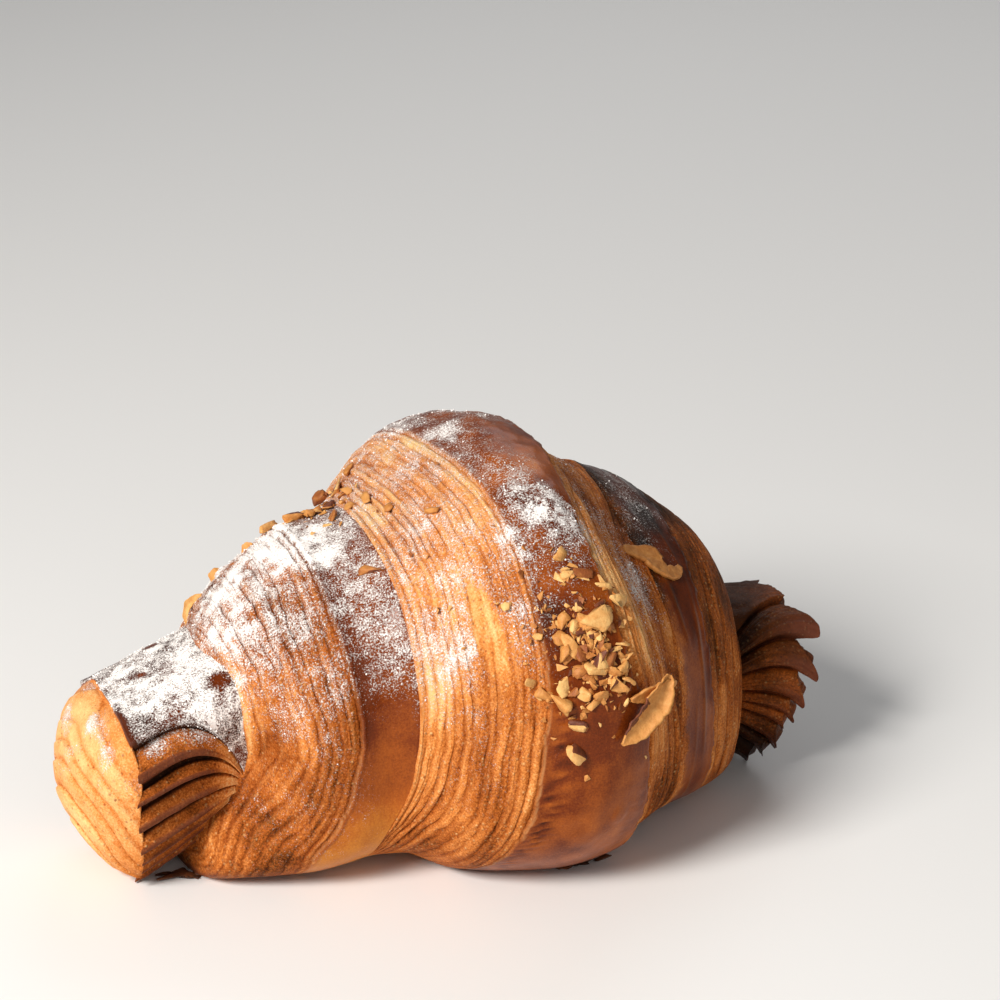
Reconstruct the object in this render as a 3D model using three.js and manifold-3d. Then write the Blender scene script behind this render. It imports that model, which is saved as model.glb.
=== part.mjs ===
// A baked croissant with chopped walnuts on its crust, as one solid.
// X runs along the roll from the near tip to the far tip, Y from its front to its back, Z up. Millimetres.
// The roll lies on Z = 0, and the origin is under the middle of the whole pastry.
import * as THREE from 'three';
import { ParametricGeometry } from 'three/addons/geometries/ParametricGeometry.js';
import { mergeVertices } from 'three/addons/utils/BufferGeometryUtils.js';
import Module from 'manifold-3d';

const wasm = await Module();
wasm.setup();

const { lerp, degToRad, clamp, smoothstep } = THREE.MathUtils;

// Driving dimensions.
const bulge = { width: 98, height: 76, at: 6 }; // the widest, middle turn of the roll
const bend = { depth: 6, reach: 34 }; // how far both ends swing back, and over what length
const trayFlat = { least: 0.8, most: 2.8 }; // how much of the round underside the baking tray pressed flat
const roundness = { over: 2.15, under: 3 }; // superellipse powers of the section, above and below its waist
const waist = 0.42; // height of the section's widest line, as a share of its height
const ledgeDepth = 0.7; // how far a layer stands out of the groove beside it
const middle = { x: -2.12, y: -1.12 }; // where the pastry's box is centred before it is moved

// The smooth roll under its layers: place along it, width and height as shares of the bulge, lift off the
// tray, and pull, which is how far the underside of a turn runs on along the roll.
const stations = [
  { at: -50, width: 0.3, height: 0.44, lift: 6, pull: -7 },
  { at: -47.5, width: 0.47, height: 0.57, lift: 0.4, pull: -8 },
  { at: -46, width: 0.51, height: 0.6, lift: 0, pull: -7.5 },
  { at: -40, width: 0.605, height: 0.68, lift: 0, pull: -4 },
  { at: -36, width: 0.64, height: 0.715, lift: 0, pull: -2 },
  { at: -31, width: 0.665, height: 0.75, lift: 0.9, pull: -0.5 },
  { at: -26, width: 0.655, height: 0.76, lift: 1.5, pull: 0 },
  { at: -20, width: 0.69, height: 0.79, lift: 1.5, pull: 0 },
  { at: -12, width: 0.85, height: 0.89, lift: 0, pull: 0 },
  { at: -3, width: 0.95, height: 0.97, lift: 0, pull: 0 },
  { at: 6, width: 1, height: 1, lift: 0, pull: 0 },
  { at: 16.4, width: 0.945, height: 0.955, lift: 0, pull: 0 },
  { at: 18.4, width: 0.868, height: 0.9, lift: 0, pull: 0 },
  { at: 23, width: 0.803, height: 0.855, lift: 0, pull: 0 },
  { at: 30, width: 0.725, height: 0.8, lift: 0, pull: -1 },
  { at: 40, width: 0.66, height: 0.735, lift: 0, pull: -1.5 },
  { at: 51, width: 0.52, height: 0.6, lift: 0.4, pull: -2 },
  { at: 53, width: 0.32, height: 0.44, lift: 6, pull: -2 },
];

// Where the near turn is pressed in beside the near tip: place, reach along, angle, reach around and depth.
const pressedIn = { at: -46, reach: 7, angle: 4, spread: 30, depth: 9.5 };

// The cut edges of the wound dough, where its layers show.
// Each climbs from its low side to the skin at its high side.
const cutEdges = [
  { low: -47, high: -31, layers: 6 },
  { low: -20, high: -3, layers: 7 },
  { low: 30, high: 17.4, layers: 6 },
  { low: 51, high: 40, layers: 5 },
];
const ledgeLip = 0.32; // where on a layer its free lip stands, from the groove before it
const skinStep = 4.5; // sampling of the smooth skin between the cut edges
const rollSides = 44;

// Both tips are stacks of layers that leave the roll by a neck, flare to a rim and close in a domed end.
// Sections are given by their centre (y, z) and half sizes. Lean tips the rim's top outwards, and
// taper narrows it downwards. Power squares the section off. Ribs are the layers' free edges below
// the skin on top, by angles from the top: where the skin ends, and the span of each rib over the front
// and over the back. At the neck the ribs gather towards one angle, as far as start on their way to the
// rim, and arch bows them from there.
const nearTip = {
  side: -1,
  neck: { at: -42, y: 6, z: 27.5, halfWidth: 18, halfHeight: 16.5 },
  rim: { at: -66, y: 5, z: 17.2, halfWidth: 20.5, halfHeight: 17 },
  lean: 0.06,
  taper: 0.28,
  dome: { depth: 10.5, y: 7, z: 16.5, power: 1.65, powerUnder: 1.7, ribs: 0 },
  power: { front: 3.5, back: 2.3 },
  ribs: { from: 46, depth: 2.4, tooth: 1, gather: 0.06, arch: 3.2, start: 0.16, towards: 118 },
  spans: {
    front: [23, 14, 18, 14, 10, 8, 8, 10, 14, 15],
    back: [13, 14, 12, 13, 12, 11, 12, 15, 16, 16],
  },
};
const farTip = {
  side: 1,
  neck: { at: 46, y: 5, z: 20.5, halfWidth: 13.5, halfHeight: 13.5 },
  rim: { at: 62, y: 0.6, z: 16.4, halfWidth: 19, halfHeight: 15.4 },
  lean: 0.4,
  taper: 0.04,
  dome: { depth: 5, y: 1, z: 17, power: 1.6, powerUnder: 1.6, ribs: 0.6 },
  power: { front: 2.1, back: 2.1 },
  ribs: { from: 10, depth: 3, tooth: 4.6, gather: 0.3, arch: 1.6, start: 0.2, towards: 104 },
  spans: {
    front: [33, 22, 21, 11.5, 8.5, 16, 12, 24, 22],
    back: [22, 17, 20, 14, 18, 16, 20, 19, 24],
  },
};
const ribEdge = 0.86; // where on a rib its free edge stands, from the groove before it
const skinColumns = { near: 9, far: 3 }; // samples over the skin on top of each tip
const flareSteps = 6;
const domeSteps = [0.08, 0.3, 0.52, 0.76];

// The larger chopped walnuts: place along the roll, angle around it and size.
const walnuts = [
  [6, 29, 2.3], [8, 26, 1.5], [11.5, 32, 1.3], [-1, 33, 1.4], [0.5, 30, 1.4], [2.5, 28, 1.3],
  [-0.5, 26, 1.2], [1, 24, 1.7], [1.5, 18, 1.6], [4, 17, 1.7], [6.5, 19, 1.8], [7.5, 13, 1.3],
  [-1, 15, 1.2], [2, 13, 1.4], [-5.5, 18, 1.5], [-4, 14, 1.3], [-1.5, 12, 1.6], [1, 6, 1.4],
  [1.5, 0, 2], [3, 40, 1.1], [6, 40, 1.1], [4, 45, 1.1], [9.5, 14, 1],
  [-28, 105, 2], [-32, 108, 1.5], [-18, 126, 1.8], [-17, 117, 1.6], [-13, 118, 1], [-22, 63, 1.8],
  [-15, 84, 1.1], [-11, 71, 1.1], [-7, 37, 1], [-46.5, 122, 1.6],
];
// Smaller ones lie in loose drifts: the drift's middle along and around the roll, its spread,
// how many pieces it has and their mean size.
const drifts = [
  { at: 4, angle: 23, spreadAt: 6, spreadAngle: 14, count: 14, size: 1.1 },
  { at: -22, angle: 103, spreadAt: 6, spreadAngle: 14, count: 8, size: 1.1 },
  { at: 7, angle: 158, spreadAt: 7, spreadAngle: 14, count: 14, size: 1.6 },
];
const walnutHalf = { at: 31, angle: 51, size: 4 }; // the one large piece beside the middle turn
// A curled sliver of walnut at the drift's edge.
const walnutCurl = { at: 13.5, angle: 6.5, radius: 9, width: 4.6, thick: 1, turn: 106, lay: 38 };
const curlSteps = 8;
const fullTurn = 2 * Math.PI;

// A repeatable draw between 0 and 1 for a whole number.
function draw(n) {
  const s = Math.sin(n * 12.9898 + 4.1414) * 43758.5453;
  return s - Math.floor(s);
}

// A draw that gathers around zero, from -1 to 1.
function spreadDraw(n) {
  return draw(n) + draw(n + 0.37) - 1;
}

// Monotone cubic interpolation of one column of the stations.
function alongStations(key, x) {
  const last = stations.length - 1;
  const slope = (i) => (stations[i + 1][key] - stations[i][key]) / (stations[i + 1].at - stations[i].at);
  const tangent = (i) => {
    if (i === 0 || i === last) return 0;
    const before = slope(i - 1);
    const after = slope(i);
    return before * after <= 0 ? 0 : (2 * before * after) / (before + after);
  };
  const found = stations.findIndex((s) => s.at > x);
  const i = found < 0 ? last - 1 : Math.max(0, found - 1);
  const width = stations[i + 1].at - stations[i].at;
  const t = clamp((x - stations[i].at) / width, 0, 1);
  const a = 2 * t ** 3 - 3 * t ** 2 + 1;
  const b = t ** 3 - 2 * t ** 2 + t;
  const c = t ** 3 - t ** 2;
  const straight = a * stations[i][key] + (1 - a) * stations[i + 1][key];
  return straight + width * (b * tangent(i) + c * tangent(i + 1));
}

function swingBack(x) {
  return bend.depth * (1 - Math.exp(-(((x - bulge.at) / bend.reach) ** 2)));
}

function signedPower(value, power) {
  return Math.sign(value) * Math.abs(value) ** power;
}

// How far the layers stand out of the smooth roll, at a place along it.
function layerRelief(x) {
  const edge = cutEdges.find((e) => (x - e.low) * (x - e.high) <= 0);
  if (!edge) return 0;
  const layer = ((x - edge.low) / (edge.high - edge.low)) * edge.layers;
  const part = layer - Math.floor(layer);
  const height = part < ledgeLip ? part / ledgeLip : (1 - part) / (1 - ledgeLip);
  return ledgeDepth * (2 * height - 1);
}

// How far the near turn is pressed in, at a place along the roll and an angle around it.
function pressDepth(x, angle) {
  const { at, reach, spread, depth } = pressedIn;
  const off = Math.acos(Math.cos(angle - degToRad(pressedIn.angle))) / degToRad(spread);
  return depth * Math.exp(-(off ** 2)) * (1 - smoothstep(x, at, at + reach));
}

// A point of the roll's crust. Angle 0 faces front, a quarter turn is the top, minus a quarter is the tray.
function rollPoint(x, angle, standOut, target) {
  const c = Math.cos(angle);
  const s = Math.sin(angle);
  const power = 2 / (s >= 0 ? roundness.over : roundness.under);
  const uneven = 1 + 0.012 * Math.sin(3 * angle + 0.07 * x) + 0.01 * Math.sin(5 * angle - 0.11 * x + 2);
  const bare = clamp(1.6 + 2.2 * s, 0, 1); // layers fade out towards the tray
  const out = (standOut + layerRelief(x) - pressDepth(x, angle)) * bare;
  const halfWidth = (alongStations('width', x) * bulge.width * uneven) / 2;
  const height = alongStations('height', x) * bulge.height * uneven;
  const fullness = clamp((alongStations('width', x) - 0.7) / 0.3, 0, 1);
  const pressed = lerp(trayFlat.least, trayFlat.most, fullness);
  const reachZ = s >= 0 ? (1 - waist) * height : waist * height + pressed;
  const y = swingBack(x) - halfWidth * signedPower(c, power) - out * c;
  const level = alongStations('lift', x) + waist * height;
  const z = Math.max(0, level + reachZ * signedPower(s, power) + out * s);
  const sway = 0.8 * Math.sin(2 * angle + 0.1 * x) + 0.5 * Math.sin(3 * angle + 1.3); // bands aren't square
  const runOn = alongStations('pull', x) * clamp((0.3 - s) / 1.3, 0, 1);
  return target.set(x + sway * bare + runOn, y, z);
}

// The places along the roll where it is sampled: every groove, lip and back of a layer, and the skins.
function rollPlaces() {
  const places = [];
  for (const edge of cutEdges) {
    for (let layer = 0; layer < edge.layers; layer++) {
      for (const part of [0, ledgeLip]) places.push(lerp(edge.low, edge.high, (layer + part) / edge.layers));
    }
    places.push(edge.high);
  }
  const ends = [stations[0].at, ...cutEdges.flatMap((e) => [e.low, e.high]), stations.at(-1).at];
  ends.sort((a, b) => a - b);
  for (let i = 0; i < ends.length; i += 2) {
    const count = Math.ceil((ends[i + 1] - ends[i]) / skinStep);
    for (let k = 0; k <= count; k++) places.push(lerp(ends[i], ends[i + 1], k / count));
  }
  places.sort((a, b) => a - b);
  return places.filter((x, i) => i === 0 || x - places[i - 1] > 0.01);
}

// A closed surface from rings of points: the first shrinks to its middle and the last to a given end.
function ringSurface(pointAt, rows, columns, end) {
  const middleOf = (row) => {
    const sum = new THREE.Vector3();
    for (let j = 0; j < columns; j++) sum.add(pointAt(row, j, new THREE.Vector3()));
    return sum.divideScalar(columns);
  };
  const ends = [middleOf(0), end ?? middleOf(rows - 1)];
  return new ParametricGeometry((u, v, target) => {
    const row = Math.round(v * (rows + 1)) - 1;
    const column = Math.round(u * columns) % columns;
    if (row < 0) target.copy(ends[0]);
    else if (row === rows) target.copy(ends[1]);
    else pointAt(row, column, target);
  }, columns, rows + 1);
}

// A geometry as a solid for joining, with shared corners merged and collapsed triangles dropped.
function solidOf(geometry) {
  const bare = new THREE.BufferGeometry();
  bare.setAttribute('position', geometry.getAttribute('position').clone());
  bare.setIndex(geometry.getIndex());
  const merged = mergeVertices(bare, 1e-3);
  const kept = [];
  for (let i = 0; i < merged.index.count; i += 3) {
    const [a, b, c] = [0, 1, 2].map((k) => merged.index.getX(i + k));
    if (a !== b && b !== c && a !== c) kept.push(a, b, c);
  }
  const vertProperties = merged.getAttribute('position').array;
  return new wasm.Manifold(new wasm.Mesh({ numProp: 3, vertProperties, triVerts: new Uint32Array(kept) }));
}

function makeRoll() {
  const places = rollPlaces();
  const pointAt = (row, column, target) => {
    const angle = (-column / rollSides) * fullTurn - degToRad(90);
    return rollPoint(places[row], angle, 0, target);
  };
  return solidOf(ringSurface(pointAt, places.length, rollSides));
}

// The angles around a tip where it is sampled, from the top over the front, and how far each stands out.
function tipColumns(tip, skinCount) {
  const { from } = tip.ribs;
  const columns = [];
  for (let k = 0; k < skinCount; k++) {
    columns.push({ angle: lerp(-from, from, k / (skinCount - 1)), rib: 0.8, tooth: 0.3 });
  }
  const half = (sense, spans) => {
    const found = [];
    let angle = from;
    spans.forEach((span, rib) => {
      const reach = 1 + 0.35 * spreadDraw(sense * 17 + rib * 2.9);
      found.push({ angle: sense * (angle + 0.05 * span), rib: 0, tooth: 0 });
      found.push({ angle: sense * (angle + ribEdge * span), rib: reach, tooth: reach });
      angle += span;
    });
    return found;
  };
  return [...columns, ...half(1, tip.spans.front), ...half(-1, tip.spans.back).reverse()];
}

// A point of a tip: flare runs from 0 at the neck to 1 at the rim, dome from 0 at the rim to 1 at the end.
function tipPoint(tip, column, flare, dome, target) {
  const { neck, rim, ribs } = tip;
  const size = (key) => lerp(neck[key], rim[key], flare);
  const run = clamp((flare - ribs.start) / (1 - ribs.start), 0, 1);
  const gather = 1 - (1 - ribs.gather) * (1 - run) ** ribs.arch;
  const turn = Math.abs(column.angle);
  const first = ribs.towards + (ribs.from - ribs.towards) * gather;
  const below = clamp((turn - ribs.towards) / (180 - ribs.towards), 0, 1);
  const onRibs = lerp(ribs.towards + (turn - ribs.towards) * gather, turn, below);
  const gathered = turn < ribs.from ? (turn / ribs.from) * first : onRibs;
  const angle = degToRad(Math.sign(column.angle) * gathered);
  const c = Math.cos(angle);
  const s = Math.sin(angle);
  const square = s >= 0 ? tip.power.front : tip.power.back;
  const reach = (Math.abs(c) ** square + Math.abs(s) ** square) ** (-1 / square);
  const fade = dome > 0 ? tip.dome.ribs : lerp(0.4, 1, flare); // ribs end at the rim or run on over the dome
  const out = ribs.depth * fade * (column.rib - 0.6);
  const narrow = 1 - tip.taper * (1 - c) * 0.5;
  const y = size('y') - (size('halfWidth') * reach * narrow + out) * s;
  const z = size('z') + (size('halfHeight') * reach + out) * c;
  const power = 2 / lerp(tip.dome.power, tip.dome.powerUnder, (1 - c) / 2);
  const shrink = Math.cos(dome * degToRad(90)) ** power;
  const swell = Math.sin(dome * degToRad(90)) ** power;
  const tooth = ribs.tooth * column.tooth * (dome > 0 ? tip.dome.ribs * shrink : flare ** 5);
  const lean = flare * tip.lean * (z - rim.z) * shrink;
  const x = size('at') + tip.side * (lean + tooth + tip.dome.depth * swell);
  return target.set(x, lerp(tip.dome.y, y, shrink), Math.max(0, lerp(tip.dome.z, z, shrink)));
}

function makeTip(tip, skinCount) {
  const columns = tipColumns(tip, skinCount);
  if (tip.side < 0) columns.reverse();
  const rows = [];
  for (let k = 0; k <= flareSteps; k++) rows.push({ flare: k / flareSteps, dome: 0 });
  for (const dome of domeSteps) rows.push({ flare: 1, dome });
  const pointAt = (row, column, target) =>
    tipPoint(tip, columns[column], rows[row].flare, rows[row].dome, target);
  const end = tipPoint(tip, columns[0], 1, 1, new THREE.Vector3());
  return solidOf(ringSurface(pointAt, rows.length, columns.length, end));
}

// Where a piece lies on the crust: a frame with its Z along the outward direction.
function crustFrame(at, degrees, height) {
  const angle = degToRad(degrees);
  const point = rollPoint(at, angle, height, new THREE.Vector3());
  const along = rollPoint(at + 1, angle, height, new THREE.Vector3()).sub(point).normalize();
  const around = rollPoint(at, angle + 0.03, height, new THREE.Vector3()).sub(point).normalize();
  const outward = new THREE.Vector3().crossVectors(along, around).normalize();
  const across = new THREE.Vector3().crossVectors(outward, along);
  return new THREE.Matrix4().makeBasis(along, across, outward).setPosition(point);
}

// One chopped piece: a jittered, flattened icosahedron, turned by chance and sunk a little into the crust.
function makeChip(at, degrees, size, seed) {
  const ball = new THREE.IcosahedronGeometry(1, 0);
  const chip = mergeVertices(ball.deleteAttribute('normal').deleteAttribute('uv'));
  const position = chip.getAttribute('position');
  for (let i = 0; i < position.count; i++) {
    const jitter = 0.78 + 0.44 * draw(seed + i * 3.7);
    position.setXYZ(i, position.getX(i) * jitter, position.getY(i) * jitter, position.getZ(i) * jitter);
  }
  chip.scale(size * (0.9 + 0.6 * draw(seed + 0.1)), size * (0.6 + 0.4 * draw(seed + 0.2)), size * 0.62);
  chip.rotateX(spreadDraw(seed + 0.5) * 0.9);
  chip.rotateZ(draw(seed + 0.4) * fullTurn);
  chip.applyMatrix4(crustFrame(at, degrees, size * 0.22));
  return solidOf(chip);
}

// The curled sliver: a thin arc of walnut, bowed away from the crust with both ends on it.
function makeCurl(curl) {
  const outer = [];
  const inner = [];
  for (let k = 0; k <= curlSteps; k++) {
    const angle = degToRad(90 + curl.turn * (k / curlSteps - 0.5));
    outer.push(new THREE.Vector2(Math.cos(angle), Math.sin(angle)).multiplyScalar(curl.radius));
    const reach = curl.radius - curl.thick;
    inner.push(new THREE.Vector2(Math.cos(angle), Math.sin(angle)).multiplyScalar(reach));
  }
  const shape = new THREE.Shape([...outer, ...inner.reverse()]);
  const sliver = new THREE.ExtrudeGeometry(shape, { depth: curl.width, bevelEnabled: false });
  sliver.translate(0, -curl.radius * Math.cos(degToRad(curl.turn / 2)), -curl.width / 2);
  sliver.rotateX(degToRad(90 - 20));
  sliver.rotateZ(degToRad(curl.lay));
  sliver.applyMatrix4(crustFrame(curl.at, curl.angle, -0.6));
  return solidOf(sliver);
}

function makeWalnuts() {
  const pieces = [makeChip(walnutHalf.at, walnutHalf.angle, walnutHalf.size, 901), makeCurl(walnutCurl)];
  walnuts.forEach(([at, degrees, size], k) => pieces.push(makeChip(at, degrees, size, 400 + 7 * k)));
  drifts.forEach((drift, d) => {
    for (let k = 0; k < drift.count; k++) {
      const seed = 100 * d + 7 * k + 1;
      const at = drift.at + drift.spreadAt * 1.6 * spreadDraw(seed);
      const degrees = drift.angle + drift.spreadAngle * 1.6 * spreadDraw(seed + 2.3);
      pieces.push(makeChip(at, degrees, drift.size * (0.6 + 0.8 * draw(seed + 5.1)), seed));
    }
  });
  return pieces;
}

// Everything joined. The largest body is kept, so no loose scrap and no sealed hollow remains.
function makeCroissant() {
  const tips = [makeTip(nearTip, skinColumns.near), makeTip(farTip, skinColumns.far)];
  const joined = wasm.Manifold.union([makeRoll(), ...tips, ...makeWalnuts()]);
  const whole = joined.decompose().sort((a, b) => b.volume() - a.volume())[0];
  const { vertProperties, triVerts } = whole.getMesh();
  const geometry = new THREE.BufferGeometry();
  geometry.setAttribute('position', new THREE.BufferAttribute(new Float32Array(vertProperties), 3));
  geometry.setIndex(new THREE.BufferAttribute(new Uint32Array(triVerts), 1));
  geometry.translate(-middle.x, -middle.y, 0);
  geometry.computeVertexNormals();
  return geometry;
}

const crust = new THREE.MeshStandardMaterial({ color: 0xc07a3a, roughness: 0.55, metalness: 0 });
const croissant = new THREE.Group();
const mesh = new THREE.Mesh(makeCroissant(), crust);
mesh.name = 'croissant';
croissant.add(mesh);

export default croissant;
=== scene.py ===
import itertools
import math
import bmesh
import bpy
import numpy as np
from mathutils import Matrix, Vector


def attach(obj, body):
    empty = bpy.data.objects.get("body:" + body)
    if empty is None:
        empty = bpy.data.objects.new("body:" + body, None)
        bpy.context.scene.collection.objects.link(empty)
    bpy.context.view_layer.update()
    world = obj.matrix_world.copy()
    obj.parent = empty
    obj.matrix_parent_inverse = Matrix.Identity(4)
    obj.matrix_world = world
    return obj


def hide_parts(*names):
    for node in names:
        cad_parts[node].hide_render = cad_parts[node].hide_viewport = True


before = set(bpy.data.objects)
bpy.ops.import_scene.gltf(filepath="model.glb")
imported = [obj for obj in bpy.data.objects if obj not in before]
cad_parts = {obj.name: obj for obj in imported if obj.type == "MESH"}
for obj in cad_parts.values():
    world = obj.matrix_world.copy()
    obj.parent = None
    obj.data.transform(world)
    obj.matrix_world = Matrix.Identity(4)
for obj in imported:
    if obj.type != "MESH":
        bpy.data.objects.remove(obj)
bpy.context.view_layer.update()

mm = 0.001  # shapes are reckoned in mm and written in metres
wholeTurn = 6.2832


# repeatable draws, smooth steps and noise

def hashPart(mark):
    spun = np.sin(mark) * 43758.5453
    return spun - np.floor(spun)


def draw(n):  # from 0 to 1
    return hashPart(np.asarray(n, float) * 12.9898 + 4.1414)


def spreadDraw(n):  # from -1 to 1, mostly near 0
    return draw(n) + draw(np.asarray(n, float) + 0.37) - 1.0


def ease(part):
    return part * part * (3.0 - 2.0 * part)


def easeStep(low, high, value):
    return ease(np.clip((value - low) / (high - low), 0.0, 1.0))


def easeDown(low, high, value):
    return 1.0 - easeStep(low, high, value)


def between(start, full, hold, end, value):  # eases in from start to full, and out from hold to end
    return easeStep(start, full, value) * easeDown(hold, end, value)


def hump(value, middle, reach):
    return np.exp(-((value - middle) / reach) ** 2)


def blendTo(first, second, part):
    return first + (second - first) * part


def signedPower(value, power):
    return np.sign(value) * np.abs(value) ** power


def softNoise(points, size, seed, stretch=(1, 1, 1)):  # lumps about size mm across, from -1 to 1
    place = points * np.array(stretch) / size
    corner = np.floor(place)
    part = ease(place - corner)
    sides = (1.0 - part, part)
    total = 0.0
    for x, y, z in itertools.product((0, 1), repeat=3):
        mark = ((corner[..., 0] + x) * 127.1 + (corner[..., 1] + y) * 311.7
                + (corner[..., 2] + z) * 74.7 + seed * 53.3)
        total = total + sides[x][..., 0] * sides[y][..., 1] * sides[z][..., 2] * hashPart(mark)
    return 2.0 * total - 1.0


def waveRound(turn, seed, orders, fade):  # a wavering line that closes on itself round the roll
    return sum(np.sin(order * turn + wholeTurn * draw(seed + order * 1.7)) * order ** -fade
               for order in orders)


# the wound roll, in mm: along it, round it (0 at the front, 90 on top), and out of its crust

roll = {
    "width": 98, "height": 76, "at": 6, "bendDepth": 6, "bendReach": 34,
    "over": 2.15, "under": 3, "waist": 0.42,
    "pressedLeast": 0.8, "pressedMost": 2.8, "middle": (-2.12, -1.12, 0), "sweep": 10,
    # along, width, height, lift, pull
    "stations": (
        (-50, 0.30, 0.44, 6, -7), (-47.5, 0.47, 0.57, 0.4, -8), (-46, 0.51, 0.6, 0, -7.5),
        (-40, 0.605, 0.68, 0, -4), (-36, 0.64, 0.715, 0, -2), (-31, 0.665, 0.75, 0.9, -0.5),
        (-26, 0.655, 0.76, 1.5, 0), (-20, 0.69, 0.79, 1.5, 0), (-12, 0.85, 0.89, 0, 0),
        (-3, 0.95, 0.97, 0, 0), (6, 1, 1, 0, 0), (16.4, 0.945, 0.955, 0, 0), (18.4, 0.868, 0.9, 0, 0),
        (23, 0.803, 0.855, 0, 0), (30, 0.725, 0.8, 0, -1), (40, 0.66, 0.735, 0, -1.5),
        (51, 0.52, 0.6, 0.4, -2), (53, 0.32, 0.44, 6, -2)),
}
rollTable = np.array(roll["stations"], float)


def alongRoll(column, at):  # a station value between stations, without overshoot
    places, values = rollTable[:, 0], rollTable[:, column]
    slopes = np.diff(values) / np.diff(places)
    before, after = slopes[:-1], slopes[1:]
    tangents = np.zeros(len(places))
    sums = np.where(before + after == 0.0, 1.0, before + after)
    tangents[1:-1] = np.where(before * after <= 0.0, 0.0, 2.0 * before * after / sums)
    k = np.clip(np.searchsorted(places, at, side="right") - 1, 0, len(places) - 2)
    gap = places[k + 1] - places[k]
    u = np.clip((at - places[k]) / gap, 0.0, 1.0)
    start = 2 * u ** 3 - 3 * u ** 2 + 1
    return (start * values[k] + (1 - start) * values[k + 1]
            + gap * ((u ** 3 - 2 * u ** 2 + u) * tangents[k] + (u ** 3 - u ** 2) * tangents[k + 1]))


def rollPoint(at, turn, out):
    c, s = np.cos(turn), np.sin(turn)
    low = np.clip((0.3 - s) / 1.3, 0.0, 1.0)  # 1 at the tray
    place = at - roll["sweep"] * low ** 1.5 * easeStep(-30, -19, at) * easeDown(2, 15, at)
    power = np.where(s >= 0, 2.0 / roll["over"], 2.0 / roll["under"])
    uneven = 1.0 + 0.012 * np.sin(3 * turn + 0.07 * place) + 0.01 * np.sin(5 * turn - 0.11 * place + 2)
    bare = np.clip(1.6 + 2.2 * s, 0.0, 1.0)  # no relief on the pressed underside
    width = alongRoll(1, place)
    halfWidth = width * roll["width"] * uneven / 2
    height = alongRoll(2, place) * roll["height"] * uneven
    pressed = blendTo(roll["pressedLeast"], roll["pressedMost"], np.clip((width - 0.7) / 0.3, 0.0, 1.0))
    waistHeight = roll["waist"] * height
    reachZ = np.where(s >= 0, height - waistHeight, waistHeight + pressed)
    bend = roll["bendDepth"] * (1 - hump(place, roll["at"], roll["bendReach"]))
    y = bend - halfWidth * signedPower(c, power) - out * bare * c
    z = np.maximum(0.0, alongRoll(3, place) + waistHeight + reachZ * signedPower(s, power) + out * bare * s)
    sway = 0.8 * np.sin(2 * turn + 0.1 * place) + 0.5 * np.sin(3 * turn + 1.3)
    return np.stack([place + sway * bare + alongRoll(4, place) * low, y, z], -1)


def toFrame(points):  # from the roll's own mm to the part's frame
    return points - np.array(roll["middle"])


# objects, grids, and numbers to and from a mesh

def addObject(name, content):
    item = bpy.data.objects.new(name, content)
    bpy.context.scene.collection.objects.link(item)
    return item


def gridMesh(name, columns, rows, size):
    bm = bmesh.new()
    bmesh.ops.create_grid(bm, x_segments=columns, y_segments=rows, size=size)
    mesh = bpy.data.meshes.new(name)
    bm.to_mesh(mesh)
    bm.free()
    return mesh


def finishPiece(name, mesh):
    piece = addObject(name, mesh)
    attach(piece, "root")
    print(name, len(mesh.polygons), "faces")
    return piece


def takeNumbers(source, key, width=1, kind=np.float32):
    values = np.empty(len(source) * width, kind)
    source.foreach_get(key, values)
    return values


def addField(mesh, key, domain, values):
    layer = mesh.attributes.new(key, "FLOAT", domain)
    layer.data.foreach_set("value", values.astype(np.float32))


# a closed shell from a grid: its ends are drawn together, its seam merged, and its fields become attributes

def shellFromGrid(name, points, fields):
    gridShape = points.shape[:2]
    first, last = (np.broadcast_to(points[row].mean(axis=0), points[:1].shape) for row in (0, -1))
    points = np.concatenate([first, points, last])
    rowCount, columnCount = points.shape[:2]
    mesh = gridMesh(name, columnCount - 1, rowCount - 1, 1.0)
    flat = takeNumbers(mesh.vertices, "co", 3).reshape(-1, 3)
    column = np.rint((flat[:, 0] + 1) / 2 * (columnCount - 1)).astype(int)
    row = np.rint((flat[:, 1] + 1) / 2 * (rowCount - 1)).astype(int)
    placed = toFrame(points[row, column]) * mm
    mesh.vertices.foreach_set("co", placed.astype(np.float32).ravel())
    for key, field in fields.items():
        field = np.broadcast_to(field, gridShape)
        addField(mesh, key, "POINT", np.concatenate([field[:1], field, field[-1:]])[row, column])
    bm = bmesh.new()
    bm.from_mesh(mesh)
    bmesh.ops.remove_doubles(bm, verts=bm.verts, dist=2e-6)
    bmesh.ops.recalc_face_normals(bm, faces=bm.faces)
    for face in bm.faces:
        face.smooth = True
    bm.to_mesh(mesh)
    bm.free()
    return finishPiece(name, mesh)


# where icing sugar lies: along, turn in degrees, reach along, reach round, how thick

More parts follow.
